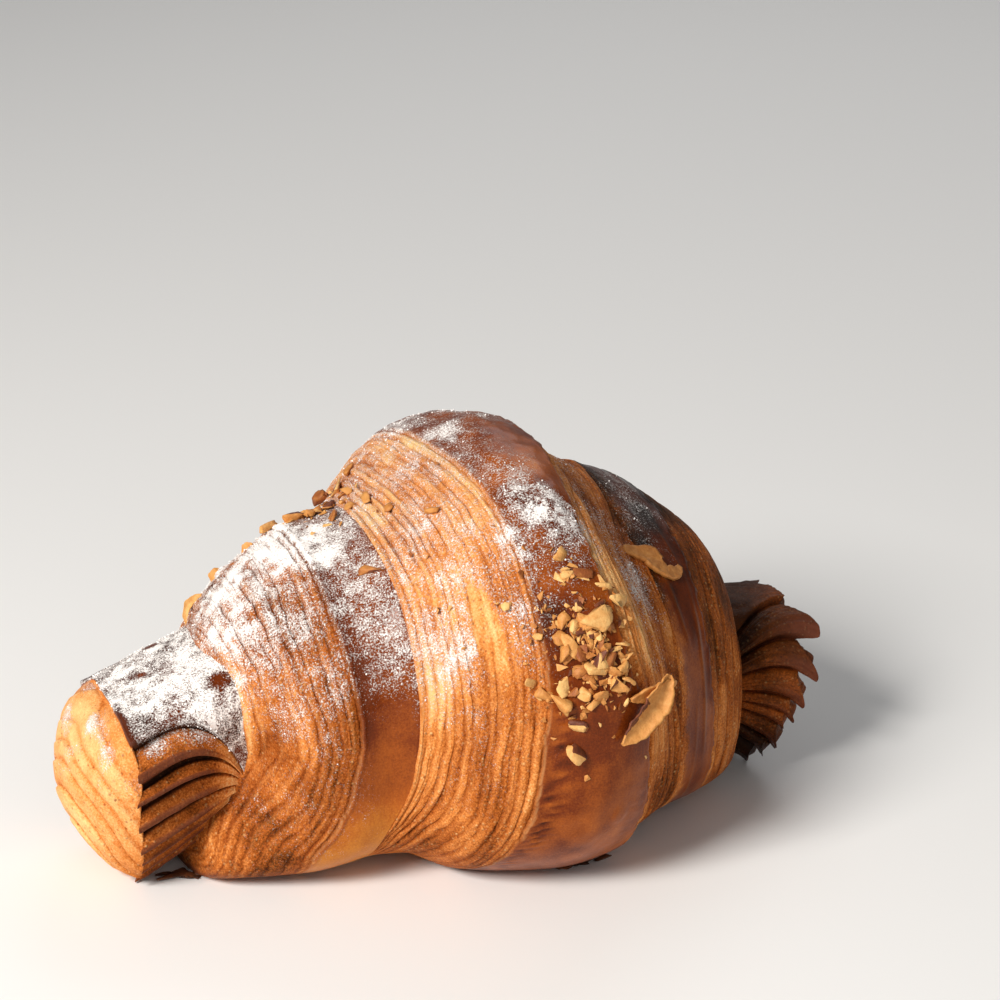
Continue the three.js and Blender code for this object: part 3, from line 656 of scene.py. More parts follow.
def makeNearTip(tip):
    degrees, part, reach, onSkin, index, wide = tipColumns(tip)
    flare, dome = tipRows(tip)
    angle = tipRound(tip, degrees, flare)
    settle = easeStep(0.01, 0.09, dome)
    face = 0.30 * easeStep(0.06, 0.22, part) + 0.34 * easeStep(0.2, 0.62, part)
    bead = 0.36 * easeStep(0.60, 0.70, part)
    drop = easeDown(0.85, 0.92, part)
    onTop = np.isin(index, topShingles)
    shingle = reach * np.clip(wide, 0.6, 1.1) * (face + bead) * drop * np.where(onTop, 0.84, 1.0)
    lipDip = 0.3 * hump(np.abs(degrees), tip["from"], 3.0)
    rib = np.where(onSkin, tip["skinRib"] + lipDip, shingle)
    fade = blendTo(blendTo(0.3, 1.0, easeStep(0.25, 0.6, flare)), 0.0, settle)
    tooth = tip["tooth"] * np.where(onSkin, tip["skinTooth"], shingle) * flare ** 5 * (1 - settle)
    rimWave = waveRound(np.radians(degrees), 5.0, (3, 5, 8, 13, 21), 0.5)
    skinRun = np.where(onSkin, easeDown(0.05, 0.075, dome + 0.022 * rimWave), 0.0)
    points = tipBody(tip, angle, flare, dome, tip["depth"] * fade * (rib - 0.6), tooth)

    ribMask = np.where(onSkin, 0.0, easeDown(0.02, 0.08, dome))
    frontLip = 0.15 + 0.85 * easeStep(16, 30, degrees)
    rimLip = np.where(onSkin, easeStep(0.93, 1.0, flare), 0.0) * skinRun * frontLip
    arch = np.sqrt(lobes["squeeze"] * (points[..., 1] - lobes["y"]) ** 2 + (points[..., 2] - lobes["z"]) ** 2)
    arch = arch + 1.3 * softNoise(points, 9.0, 23.0) + 0.2 * softNoise(points, 3.0, 24.0)
    edges = np.array(lobes["edges"])
    lobe = np.clip(np.searchsorted(edges, arch, side="right") - 1, 0, len(edges) - 2)
    within = (arch - edges[lobe]) / (edges[lobe + 1] - edges[lobe])
    pillow = easeStep(0.0, 0.35, within) * (0.6 + 0.4 * within) * easeDown(0.90, 1.0, within)
    # painted shade along the boundaries between the pleats
    creaseShade = np.exp(-within / 0.13) + easeStep(0.95, 1.0, within)
    onCap = easeStep(0.04, 0.12, dome) * (1 - skinRun)
    sideways = 1 - 0.65 * easeStep(6, 15, points[..., 1])
    lift = lobes["depth"] * (0.6 + 0.6 * draw(lobe * 3.1)) * (pillow - 0.65) * onCap * sideways
    lift = lift + (0.12 * softNoise(points, 3.0, 21.0) + 0.07 * softNoise(points, 1.2, 22.0))
    lift = lift + 0.55 * rimLip + 0.25 * skinRun * easeStep(0.02, 0.05, dome)
    points = points + tipOutward(tip, angle, flare, dome) * lift[..., None]
    rimOff = 0.55 * waveRound(np.radians(degrees), 15.0, (2, 3, 5, 8), 0.5)
    points[..., 0] += tip["side"] * rimOff * easeStep(0.6, 1.0, flare) * easeDown(0.0, 0.35, dome)
    points[..., 2] = np.maximum(0.0, points[..., 2])

    edgeBand = between(0.60, 0.68, 0.86, 0.92, part)
    shadowEnd = np.where(onTop, 0.06, np.where(np.isin(index, nextShingles), 0.22, 0.36))
    # painted shadow in the gap under each shingle's edge
    grooveBand = np.clip(easeStep(0.86, 0.92, part) + easeDown(shadowEnd * 0.3, shadowEnd, part), 0, 1)
    toneAndShade = blendTo(spreadDraw(lobe * 3.1), spreadDraw(index * 1.7), ribMask)
    golden = easeDown(0.28, 0.52, flare) * ribMask
    pale, brown = 0.15 + 0.06 * softNoise(points, 6.0, 33.0), 0.62 + 0.10 * softNoise(points, 2.2, 34.0)
    bakeAndShade = blendTo(pale, brown, ribMask)
    # darker in the gaps between shingles: painted shadow
    bakeAndShade = bakeAndShade + 0.42 * ribMask * grooveBand
    bakeAndShade = bakeAndShade + 0.12 * easeDown(0.03, 0.4, dome) * easeStep(0.0, 0.05, dome)
    bakeAndShade = bakeAndShade - 0.34 * golden + 0.12 * easeDown(3, 12, points[..., 2]) * (1 - ribMask)
    bakeAndShade = blendTo(bakeAndShade, 0.74 + 0.10 * softNoise(points, 5.0, 31.0), skinRun) + 0.16 * creaseShade * onCap
    groove = np.maximum(ribMask * grooveBand * (1 - 0.7 * golden), 0.10 * creaseShade * onCap)
    film = skinRun * (0.50 + 0.22 * easeStep(-0.1, 0.9, np.cos(angle)))  # icing sugar on the skin
    film = film * (1 - 0.45 * easeStep(30, 46, np.abs(np.degrees(angle))) * easeStep(0.4, 0.9, flare))
    film = film * (1 + 0.34 * softNoise(points, 2.8, 3.0) + 0.36 * softNoise(points, 1.2, 5.0))
    for x, y, z, radius in bareSpots:
        spot = np.exp(-(np.linalg.norm(points - np.array([x, y, z]), axis=-1) / radius) ** 3)
        film = film * (1 - 0.85 * spot)
        bakeAndShade = bakeAndShade - 0.16 * spot * skinRun
    film = film * (1 - 0.95 * easeStep(0.94, 0.99, flare + 0.015 * rimWave) * frontLip)
    light = ribMask * 0.50 * easeDown(48, 66, np.abs(degrees)) * (1 - golden)  # and a little beside it
    light = light * (1 - 0.75 * easeStep(0.86, 0.98, flare))
    patches = easeStep(-0.3, 0.6, softNoise(points, 4.0, 9.0))
    light = light + onCap * 0.50 * easeStep(15, 31, points[..., 2]) * patches
    light = light * (1 + 0.5 * softNoise(points, 3.0, 7.0))
    return shellFromGrid("nearTip", points, {
        "skin": skinRun, "groove": groove, "edge": 0.0, "toneAndShade": toneAndShade, "bakeAndShade": np.clip(bakeAndShade, 0, 1),
        "sugar": np.clip(film + light, 0, 1.2) * (1 - 0.8 * groove), "along": points[..., 0] * mm,
        "around": np.radians(degrees) * 0.02,
        "burnt": np.clip(ribMask * (1 - golden) * 0.8 * edgeBand + 0.35 * rimLip, 0, 0.9),
    })


# the far tip: a dark fan of fleshy ribs that run out into hooked teeth

def makeFarTip(tip):
    degrees, part, reach, onSkin, index, wide = tipColumns(tip)
    flare, dome = tipRows(tip)
    side = np.sign(degrees) * between(10, 60, 130, 180, np.abs(degrees))
    hook = easeStep(0.10, 0.80, part) ** 1.4 * easeDown(0.84, 0.98, part)
    small = np.clip(wide, 0.55, 1.15)
    tooth = np.where(onSkin, tip["skinTooth"], reach * hook * np.clip(wide, 0.6, 1.1))
    bow = 3.0 * np.sin(np.pi * flare ** 0.9) - 13.0 * tooth * flare ** 8 * easeDown(0, 0.2, dome)
    angle = tipRound(tip, degrees - bow * side, flare)
    settled = blendTo(1.0, tip["domeRibs"], easeStep(0.0, 0.10, dome))
    lipped = 0.72 * np.sin(np.pi * part ** 0.9) ** 0.7 + 0.28 * easeStep(0.35, 0.78, part)
    drop = easeDown(0.86, 0.985, part)
    rib = np.where(onSkin, tip["skinRib"], reach * lipped * drop * small + 0.25 * (1 - small))
    out = tip["depth"] * np.where(dome > 0, settled, blendTo(0.35, 1.0, flare ** 1.5)) * (rib - 0.6)
    toothOut = tip["tooth"] * tooth * np.where(dome > 0, settled, flare ** 4)
    points = tipBody(tip, angle, flare, dome, out, toothOut)
    streak = waveRound(np.radians(degrees), 9.0, (47, 61, 83, 101, 127), 0.1)
    rough = 0.22 * softNoise(points, 3.2, 41.0) + 0.12 * softNoise(points, 1.3, 42.0) + 0.05 * streak
    points = points + tipOutward(tip, angle, flare, dome) * rough[..., None]
    points[..., 2] = np.maximum(0.0, points[..., 2])

    edgeBand = between(0.55, 0.75, 0.93, 1.0, part)
    # painted shadow in the gaps between ribs
    grooveBand = np.clip(easeStep(0.87, 0.97, part) + easeDown(0.0, 0.16, part), 0, 1)
    tipDark = easeStep(0.62, 1.0, flare) * np.where(onSkin, 0.4, hook)
    toneAndShade = spreadDraw(index * 1.7)
    # darker on top: partly dark baking, partly painted shadow; darker towards the tray: painted shade
    topBakeAndShadow = easeStep(19, 29, points[..., 2]) * (1 - easeStep(0.3, 1.0, flare) * 0.5)
    lowShade = easeDown(4, 15, points[..., 2])
    bakeAndShade = 0.78 + 0.05 * toneAndShade + 0.22 * topBakeAndShadow + 0.22 * lowShade + 0.06 * easeDown(0.0, 0.35, flare)
    bakeAndShade = bakeAndShade + 0.10 * softNoise(points, 5.0, 43.0)
    burnt = 0.2 * np.where(onSkin, 0.3, edgeBand) * easeStep(0.3, 0.9, flare) + 0.6 * tipDark
    return shellFromGrid("farTip", points, {
        "skin": 0.2, "groove": np.where(onSkin, 0.0, grooveBand), "edge": 0.0, "toneAndShade": toneAndShade,
        "bakeAndShade": np.clip(bakeAndShade, 0, 1), "sugar": 0.03 * easeStep(16, 34, points[..., 2]),
        "along": 0.3 * np.radians(degrees) * 0.02, "around": points[..., 0] * mm,
        "burnt": np.clip(burnt, 0, 0.9),
    })


nearTipPiece = makeNearTip(nearTip)
farTipPiece = makeFarTip(farTip)


# shader helpers: each adds a node to the tree of the socket that it is given

def tint(red, green, blue):  # a screen colour from 0 to 255, as light
    shares = []
    for value in (red, green, blue):
        share = value / 255.0
        shares.append(share / 12.92 if share <= 0.04045 else ((share + 0.055) / 1.055) ** 2.4)
    return (*shares, 1.0)


def wire(tree, kind, inputs=None, **settings):
    node = tree.nodes.new(kind)
    for key, value in settings.items():
        setattr(node, key, value)
    for key, value in (inputs or {}).items():
        if isinstance(value, bpy.types.NodeSocket):
            tree.links.new(value, node.inputs[key])
        else:
            node.inputs[key].default_value = value
    return node


def reckon(operation, first, second):
    tree = (first if isinstance(first, bpy.types.NodeSocket) else second).id_data
    return wire(tree, "ShaderNodeMath", {0: first, 1: second}, operation=operation).outputs[0]


def plus(first, second):
    return reckon("ADD", first, second)


def minus(first, second):
    return reckon("SUBTRACT", first, second)


def times(first, second):
    return reckon("MULTIPLY", first, second)


def varied(base, pattern, amount):  # a pattern about 0.5 moves the base up and down
    return plus(base, times(minus(pattern, 0.5), amount))


def spread(value, low, high, toLow=0.0, toHigh=1.0):
    return wire(value.id_data, "ShaderNodeMapRange", {"Value": value, "From Min": low, "From Max": high,
                                                      "To Min": toLow, "To Max": toHigh}).outputs["Result"]


def mixTint(factor, first, second, blend="MIX"):
    return wire(factor.id_data, "ShaderNodeMix", {0: factor, 6: first, 7: second},
                data_type="RGBA", blend_type=blend).outputs[2]


def rampTint(factor, *stops):
    node = wire(factor.id_data, "ShaderNodeValToRGB", {"Fac": factor})
    points = node.color_ramp.elements
    while len(points) < len(stops):
        points.new(0.5)
    for point, (place, *colour) in zip(points, stops):
        point.position = place
        point.color = tint(*colour)
    return node.outputs["Color"]


def readField(tree, key):
    return wire(tree, "ShaderNodeAttribute", attribute_name=key).outputs["Fac"]


def noise(where, scale, detail, rough):
    return wire(where.id_data, "ShaderNodeTexNoise", {"Vector": where, "Scale": scale, "Detail": detail,
                                                      "Roughness": rough}).outputs[0]


def cellSpots(where, scale):  # distance from each cell's middle, and two chances of its own
    cells = wire(where.id_data, "ShaderNodeTexVoronoi", {"Vector": where, "Scale": scale, "Randomness": 1.0})
    chance = wire(where.id_data, "ShaderNodeSeparateColor", {"Color": cells.outputs["Color"]})
    return cells.outputs["Distance"], chance.outputs[0], chance.outputs[1]


def objectPlace(tree):
    return wire(tree, "ShaderNodeTexCoord").outputs["Object"]


def newMaterial(name):
    material = bpy.data.materials.new(name)
    material.use_nodes = True
    return material, material.node_tree, material.node_tree.nodes["Principled BSDF"]


def dress(shader, colour, dull, settings=None):  # colour and roughness, and settings that aren't linked
    tree = shader.id_data
    tree.links.new(colour, shader.inputs["Base Color"])
    tree.links.new(dull, shader.inputs["Roughness"])
    for key, value in (settings or {}).items():
        shader.inputs[key].default_value = value


def emboss(shader, relief, strength, depth):
    bump = wire(shader.id_data, "ShaderNodeBump", {"Height": relief, "Strength": strength, "Distance": depth})
    shader.id_data.links.new(bump.outputs["Normal"], shader.inputs["Normal"])


# icing sugar dust: a broken film where it is thick, single specks where it is thin

dustGrain = {  # scale per metre, detail, roughness
    "clump": (700, 3, 0.65), "fine": (3200, 2, 0.7), "specks": 1500,
    "thick": 1.35, "clumpy": 0.8, "gritty": 2.6, "speck": 0.65,
}


def makeIcingDust():
    tree = bpy.data.node_groups.new("icingDust", "ShaderNodeTree")
    tree.interface.new_socket(name="Density", in_out="INPUT", socket_type="NodeSocketFloat")
    tree.interface.new_socket(name="Mask", in_out="OUTPUT", socket_type="NodeSocketFloat")
    entry, leave = tree.nodes.new("NodeGroupInput"), tree.nodes.new("NodeGroupOutput")
    density, where = entry.outputs["Density"], objectPlace(tree)
    film = times(density, dustGrain["thick"])
    film = varied(film, noise(where, *dustGrain["clump"]), dustGrain["clumpy"])
    film = varied(film, noise(where, *dustGrain["fine"]), dustGrain["gritty"])
    film = times(spread(film, 0.45, 1.05), spread(density, 0.03, 0.16))
    distance, chance, _ = cellSpots(where, dustGrain["specks"])
    shown = reckon("LESS_THAN", chance, spread(density, 0.12, 0.7))
    speck = times(shown, spread(distance, 0.12, 0.30, 1.0, 0.0))
    tree.links.new(reckon("MAXIMUM", film, times(speck, dustGrain["speck"])), leave.inputs["Mask"])
    return tree


icingDust = makeIcingDust()


# the baked dough: cut edges from pale gold to brown, skins from golden to dark chocolate

crustTints = {
    # bake and painted shade, red, green, blue
    "cut": ((0, 250, 208, 142), (0.3, 220, 136, 66), (0.55, 168, 87, 31), (0.8, 94, 47, 12), (1, 36, 15, 5)),
    "skin": ((0, 208, 132, 46), (0.3, 164, 84, 26), (0.6, 108, 44, 11), (0.85, 60, 22, 6), (1, 28, 10, 4)),
    # the groove tint multiplies in painted shade; the edge tint paints highlights along edges
    "groove": tint(140, 72, 30), "edge": tint(250, 206, 140), "burnt": tint(92, 50, 38),
    "blister": tint(252, 206, 142), "pore": tint(150, 76, 30), "icing": tint(249, 243, 238),
}
crustGrain = {  # scale per metre, detail, roughness
    "mottle": (330, 3, 0.6), "speckle": (2600, 3, 0.75), "fibre": (260, 3, 0.6), "patch": (210, 2, 0.5),
    "blisters": 1250,
}
crustFinish = {
    "mottle": 0.28, "speckle": 0.95, "fibre": 0.16, "strings": 0.44, "blister": 0.85, "pore": 0.7,
    "blot": 0.26, "skinCoat": 0.20, "coatRough": 0.16, "gloss": 0.12, "sheen": (1.0, 0.72, 0.5, 1.0),
    "ior": 1.45, "bump": 0.85, "bumpDepth": 0.0003,
    "stringsRun": (0.013, 0.018, 0.029, 0.033),  # strings of dough right of the walnuts, metres along the roll
}


def makeCrust():
    material, tree, shader = newMaterial("bakedCrust")
    where = objectPlace(tree)
    keys = ("skin", "groove", "edge", "toneAndShade", "bakeAndShade", "sugar", "burnt", "along", "around")
    skin, groove, edge, toneAndShade, bakeAndShade, sugar, burnt, along, around = (readField(tree, key) for key in keys)

    def bySkin(onCut, onSkin):
        return spread(skin, 0.0, 1.0, onCut, onSkin)

    woven = wire(tree, "ShaderNodeCombineXYZ", {"X": times(along, 7.0), "Y": around}).outputs[0]
    mottle, speckle, patch = (noise(where, *crustGrain[key]) for key in ("mottle", "speckle", "patch"))
    fibre = noise(woven, *crustGrain["fibre"])
    distance, chance, otherChance = cellSpots(where, crustGrain["blisters"])
    dome = spread(distance, 0.10, 0.42, 1.0, 0.0)
    blister = times(times(dome, spread(chance, 0.40, 0.85)), spread(patch, 0.36, 0.60, 0.3, 1.0))
    # dark pores: painted shade in small holes
    pore = times(dome, spread(otherChance, 0.60, 0.9))

    shade = varied(plus(bakeAndShade, times(toneAndShade, 0.07)), mottle, bySkin(crustFinish["mottle"], 0.16))
    grit = times(minus(speckle, 0.5), crustFinish["speckle"])
    cutShade = plus(shade, times(grit, spread(bakeAndShade, 0.1, 0.42, 0.45, 1.0)))
    darkShade = plus(shade, times(grit, 0.35))
    cutShade = wire(tree, "ShaderNodeMix", {0: spread(bakeAndShade, 0.72, 0.92), 2: cutShade, 3: darkShade}).outputs[0]
    start, full, hold, end = crustFinish["stringsRun"]
    stringy = times(spread(along, start, full), spread(along, hold, end, 1.0, 0.0))
    cutShade = varied(cutShade, fibre, spread(stringy, 0.0, 1.0, crustFinish["fibre"], crustFinish["strings"]))
    pale = times(blister, spread(bakeAndShade, 0.3, 0.9, crustFinish["blister"], 0.15))
    cutColour = mixTint(pale, rampTint(cutShade, *crustTints["cut"]), crustTints["blister"])
    cutColour = mixTint(times(pore, crustFinish["pore"]), cutColour, crustTints["pore"], "MULTIPLY")
    skinShade = varied(varied(varied(shade, fibre, 0.10), patch, crustFinish["blot"]), speckle, 0.45)
    colour = mixTint(skin, cutColour, rampTint(skinShade, *crustTints["skin"]))
    # painted highlight along edges, lips and ridges
    colour = mixTint(times(edge, spread(bakeAndShade, 0.4, 0.8, 0.5, 0.08)), colour, crustTints["edge"])
    # painted shade: darker in the grooves, gaps and creases where shade falls
    colour = mixTint(times(groove, 0.7), colour, crustTints["groove"], "MULTIPLY")
    colour = mixTint(burnt, colour, crustTints["burnt"])
    dust = wire(tree, "ShaderNodeGroup", {"Density": sugar}, node_tree=icingDust).outputs["Mask"]
    colour = mixTint(dust, colour, crustTints["icing"])

    dull = minus(bySkin(0.58, 0.34), times(times(blister, minus(1.0, skin)), 0.06))
    dull = minus(varied(dull, mottle, 0.25), times(burnt, 0.18))
    dull = reckon("MAXIMUM", dull, times(dust, 0.9))
    coat = times(bySkin(0.0, crustFinish["skinCoat"]), spread(dust, 0.0, 0.6, 1.0, 0.0))
    tree.links.new(coat, shader.inputs["Coat Weight"])
    dress(shader, colour, dull, {
        "Coat Roughness": crustFinish["coatRough"], "Specular IOR Level": crustFinish["gloss"],
        "Specular Tint": crustFinish["sheen"], "IOR": crustFinish["ior"]})

    rough = spread(reckon("MAXIMUM", skin, burnt), 0.0, 1.0, 0.9, 0.10)
    relief = plus(times(blister, bySkin(0.9, 0.10)), times(speckle, rough))
    relief = plus(relief, times(fibre, bySkin(0.4, 0.05)))
    emboss(shader, plus(relief, times(dust, 0.6)), crustFinish["bump"], crustFinish["bumpDepth"])
    return material


bakedCrust = makeCrust()
crustPieces = (middlePiece, nearPiece, farPiece, nearTipPiece, farTipPiece)
for piece in crustPieces:
    piece.data.materials.append(bakedCrust)
print("crust finished")


# small things lie on the crust in a frame of their own: along it, round it and out of it

seat = {"out": 0.35, "along": 0.4, "round": 0.01}  # mm out of the crust, and steps that find its slope


def crustFrame(at, degrees, lift):
    def here(stepAlong, stepRound):
        return rollPoint(np.array(float(at + stepAlong)), np.radians(degrees) + stepRound, seat["out"])

    along = here(seat["along"], 0) - here(-seat["along"], 0)
    along = along / np.linalg.norm(along)
    up = np.cross(along, here(0, seat["round"]) - here(0, -seat["round"]))
    up = up / np.linalg.norm(up)
    return toFrame(here(0, 0) + up * lift), np.stack([along, np.cross(up, along), up], -1)


def turned(points, tilt, spin):
    tiltC, tiltS, spinC, spinS = math.cos(tilt), math.sin(tilt), math.cos(spin), math.sin(spin)
    tiltBy = np.array([[1, 0, 0], [0, tiltC, -tiltS], [0, tiltS, tiltC]])
    spinBy = np.array([[spinC, -spinS, 0], [spinS, spinC, 0], [0, 0, 1]])
    return points @ (spinBy @ tiltBy).T


def takeMesh(bm):  # its points and faces, and the bmesh is let go
    bm.verts.index_update()
    points = np.array([vert.co[:] for vert in bm.verts])
    faces = [[vert.index for vert in face.verts] for face in bm.faces]
    bm.free()
    return points, faces


def joinShapes(name, shapes, smooth):  # each shape: points in mm, faces, hue, and which faces are peel
    points, faces, hues, peels = [], [], [], []
    for shape, shapeFaces, hue, peel in shapes:
        start = sum(len(block) for block in points)
        points.append(shape)
        faces.extend([[corner + start for corner in face] for face in shapeFaces])
        hues.append(np.full(len(shape), hue))
        peels.append(np.asarray(peel, float))
    mesh = bpy.data.meshes.new(name)
    mesh.from_pydata((np.concatenate(points) * mm).tolist(), [], faces)
    addField(mesh, "hue", "POINT", np.concatenate(hues))
    addField(mesh, "peel", "FACE", np.concatenate(peels))
    mesh.polygons.foreach_set("use_smooth", np.full(len(mesh.polygons), smooth))
    return finishPiece(name, mesh)


# chopped walnuts: broken pieces with flat faces, worn edges and scraps of brown peel

walnuts = {
    # along, turn, size of the larger pieces
    "placed": (
        (6, 29, 2.3), (8, 26, 1.5), (11.5, 32, 1.3), (-1, 33, 1.4), (0.5, 30, 1.4), (2.5, 28, 1.3),
        (-0.5, 26, 1.2), (1, 24, 1.7), (1.5, 18, 1.6), (4, 17, 1.7), (6.5, 19, 1.8), (7.5, 13, 1.3),
        (-1, 15, 1.2), (2, 13, 1.4), (-5.5, 18, 1.5), (-4, 14, 1.3), (-1.5, 12, 1.6), (1, 6, 1.4),
        (1.5, 0, 2), (3, 40, 1.1), (6, 40, 1.1), (4, 45, 1.1), (9.5, 14, 1),
        (-28, 105, 2), (-32, 108, 1.5), (-18, 126, 1.8), (-17, 117, 1.6), (-13, 118, 1), (-22, 63, 1.8),
        (-15, 84, 1.1), (-11, 71, 1.1), (-7, 37, 1)),
    # along, turn, spread along, spread round, count, size
    "drifts": ((3.5, 24, 5, 13, 44, 1.1), (-22, 104, 6, 12, 16, 1.3), (7, 158, 7, 14, 14, 1.6)),
    "crumbs": ((4, 23, 5, 13, 100, 0.75), (4, 21, 7, 17, 150, 0.45), (-22, 103, 6, 16, 24, 0.5),
               (7, 158, 8, 16, 24, 0.5), (-9, 60, 9, 26, 14, 0.4)),
    "corners": 11, "crumbCorners": 7, "worn": 0.09, "peeled": 0.35, "swell": 1.14, "scatter": 1.6,
    "sunk": 0.55, "tilt": 1.1, "placedSeed": 400, "driftSeed": 1, "crumbSeed": 901,
    "seedStep": 7, "driftStep": 100,
}


def nutChunk(seed, size, corners, worn):
    reach = np.array([0.9 + 0.6 * draw(seed + 0.1), 0.65 + 0.4 * draw(seed + 0.2),
                      0.32 + 0.34 * draw(seed + 0.3)]) * size
    bm = bmesh.new()
    for k in range(corners):
        mark = seed + k * 1.37
        aim = np.array([spreadDraw(mark + shift) for shift in (0.11, 0.53, 0.83)])
        aim = signedPower(aim / max(np.linalg.norm(aim), 1e-6), 0.7)
        bm.verts.new(aim * reach * (0.8 + 0.35 * draw(mark + 0.29)))
    hull = bmesh.ops.convex_hull(bm, input=bm.verts)
    bmesh.ops.delete(bm, geom=list(set(hull["geom_interior"] + hull["geom_unused"])), context="VERTS")
    bmesh.ops.dissolve_limit(bm, angle_limit=0.22, verts=bm.verts, edges=bm.edges)
    if worn:
        bmesh.ops.bevel(bm, geom=bm.edges, offset=worn * size, segments=1, profile=0.5, affect="EDGES",
                        material=-1)
        bmesh.ops.triangulate(bm, faces=bm.faces)
        bmesh.ops.subdivide_edges(bm, edges=bm.edges, cuts=1, use_grid_fill=True)
    bmesh.ops.recalc_face_normals(bm, faces=bm.faces)
    skinSide = np.array([spreadDraw(seed + shift) for shift in (3.1, 3.4, 3.9)])
    least = 0.45 * np.linalg.norm(skinSide)
    peeled = draw(seed + 3.3) < walnuts["peeled"]
    peel = [float(peeled and np.dot(face.normal, skinSide) > least) for face in bm.faces]
    points, faces = takeMesh(bm)
    points = points * reach / np.abs(points).max(axis=0)
    if worn:
        broken = 0.24 * softNoise(points, 0.7 * size, seed) + 0.16 * softNoise(points, 0.3 * size, seed + 1)
        points = points * (1.0 + broken)[:, None]
    return points, faces, peel


def layNut(at, degrees, size, seed, corners, worn):
    points, faces, peel = nutChunk(seed, size, corners, worn)
    points = turned(points, walnuts["tilt"] * spreadDraw(seed + 0.5), wholeTurn * draw(seed + 0.4))
    origin, axes = crustFrame(at, degrees, -walnuts["sunk"] * points[:, 2].min())
    return points @ axes.T + origin, faces, draw(seed + 7.7), peel


def scatterNuts(drifts, first, corners, worn):
    shapes, step, wide = [], walnuts["seedStep"], walnuts["scatter"]
    for d, (driftAt, driftTurn, spreadAt, spreadTurn, count, size) in enumerate(drifts):
        start = first + walnuts["driftStep"] * d
        for seed in range(start, start + step * count, step):
            at = driftAt + spreadAt * wide * spreadDraw(seed)
            degrees = driftTurn + spreadTurn * wide * spreadDraw(seed + 2.3)
            shapes.append(layNut(at, degrees, size * (0.6 + 0.8 * draw(seed + 5.1)), seed, corners, worn))
    return shapes


nutShapes = [layNut(at, degrees, walnuts["swell"] * size, walnuts["placedSeed"] + walnuts["seedStep"] * k,
                    walnuts["corners"], walnuts["worn"])
             for k, (at, degrees, size) in enumerate(walnuts["placed"])]
nutShapes += scatterNuts(walnuts["drifts"], walnuts["driftSeed"], walnuts["corners"], walnuts["worn"])
crumbShapes = scatterNuts(walnuts["crumbs"], walnuts["crumbSeed"], walnuts["crumbCorners"], 0.0)
nutPieces = [joinShapes("walnutPieces", nutShapes, True), joinShapes("walnutCrumbs", crumbShapes, False)]


# thin shavings: a sheet laid along a path, cupped across it, given a thickness

shavings = {
    # along, turn, lay in degrees, tilt, thickness, hue, where the brown side starts (9: none)
    # then the path: x, y, lift, half width, cup in mm
    "walnutCurl": ((12.6, 6.5, 50, -0.30, 0.55, 0.46, 0.9), (
        (-7.4, 0, 0.5, 0.3, 0), (-5.6, -0.3, 0.8, 1.5, 0.5), (-2.6, -0.5, 1.2, 2.3, 1.2),
        (0.5, -0.4, 1.8, 2.6, 1.6), (3.6, 0.1, 2.5, 2.3, 1.6), (6, 0.6, 3.1, 1.3, 0.8),
        (7.2, 1, 3.4, 0.4, 0.2))),
    "walnutFold": ((13.6, 11.5, 18, 0.35, 0.55, 0.6, 9), (
        (-4.4, -0.6, 0.6, 0.4, 0), (-2.2, -0.2, 1.6, 1.5, 0.3), (0.5, 0, 2.5, 1.9, 0.4),
        (3, 0.2, 3, 1.5, 0.3), (5, 0.2, 3.4, 0.4, 0))),
    "walnutHook": ((32, 51, 0, 0, 0.9, 0.64, 9), (
        (-6.6, 2.8, 0.4, 0.6, 0), (-3.8, 2, 0.6, 1.3, 0.1), (-0.8, 1.2, 0.9, 2.5, 0.2),
        (-0.2, -0.9, 0.9, 2.2, 0.2), (1.8, -2.6, 0.8, 1.4, 0.1), (4.8, -2.4, 0.6, 1.2, 0.1),
        (6.6, -0.8, 0.4, 0.6, 0))),
    "dryFlake": ((-46.3, 116, 8, 1.25, 0.25, 0.2, 9), (
        (-3.6, -1.2, 0.2, 0.2, 0), (-2, 0.2, 0.4, 0.55, 0.2), (0.2, 0.8, 0.6, 0.75, 0.3),
        (2.2, 0.3, 0.4, 0.55, 0.2), (3.6, -1, 0.2, 0.2, 0))),
    "dryFlakeHigh": ((-41, 118, 20, 1.1, 0.35, 0.3, 9), (
        (-1.6, -0.4, 0.2, 0.2, 0), (-0.6, 0.2, 0.5, 0.8, 0.1), (0.6, 0.3, 0.6, 0.7, 0.1),
        (1.6, 0, 0.3, 0.2, 0))),
    "dryFlakeTop": ((-35.5, 112, -25, 1, 0.35, 0.4, 9), (
        (-1.3, -0.3, 0.2, 0.2, 0), (-0.3, 0.2, 0.5, 0.6, 0.1), (0.6, 0.2, 0.5, 0.6, 0.1),
        (1.4, 0, 0.3, 0.2, 0))),
}
sheetSteps = {"along": 40, "across": 12}


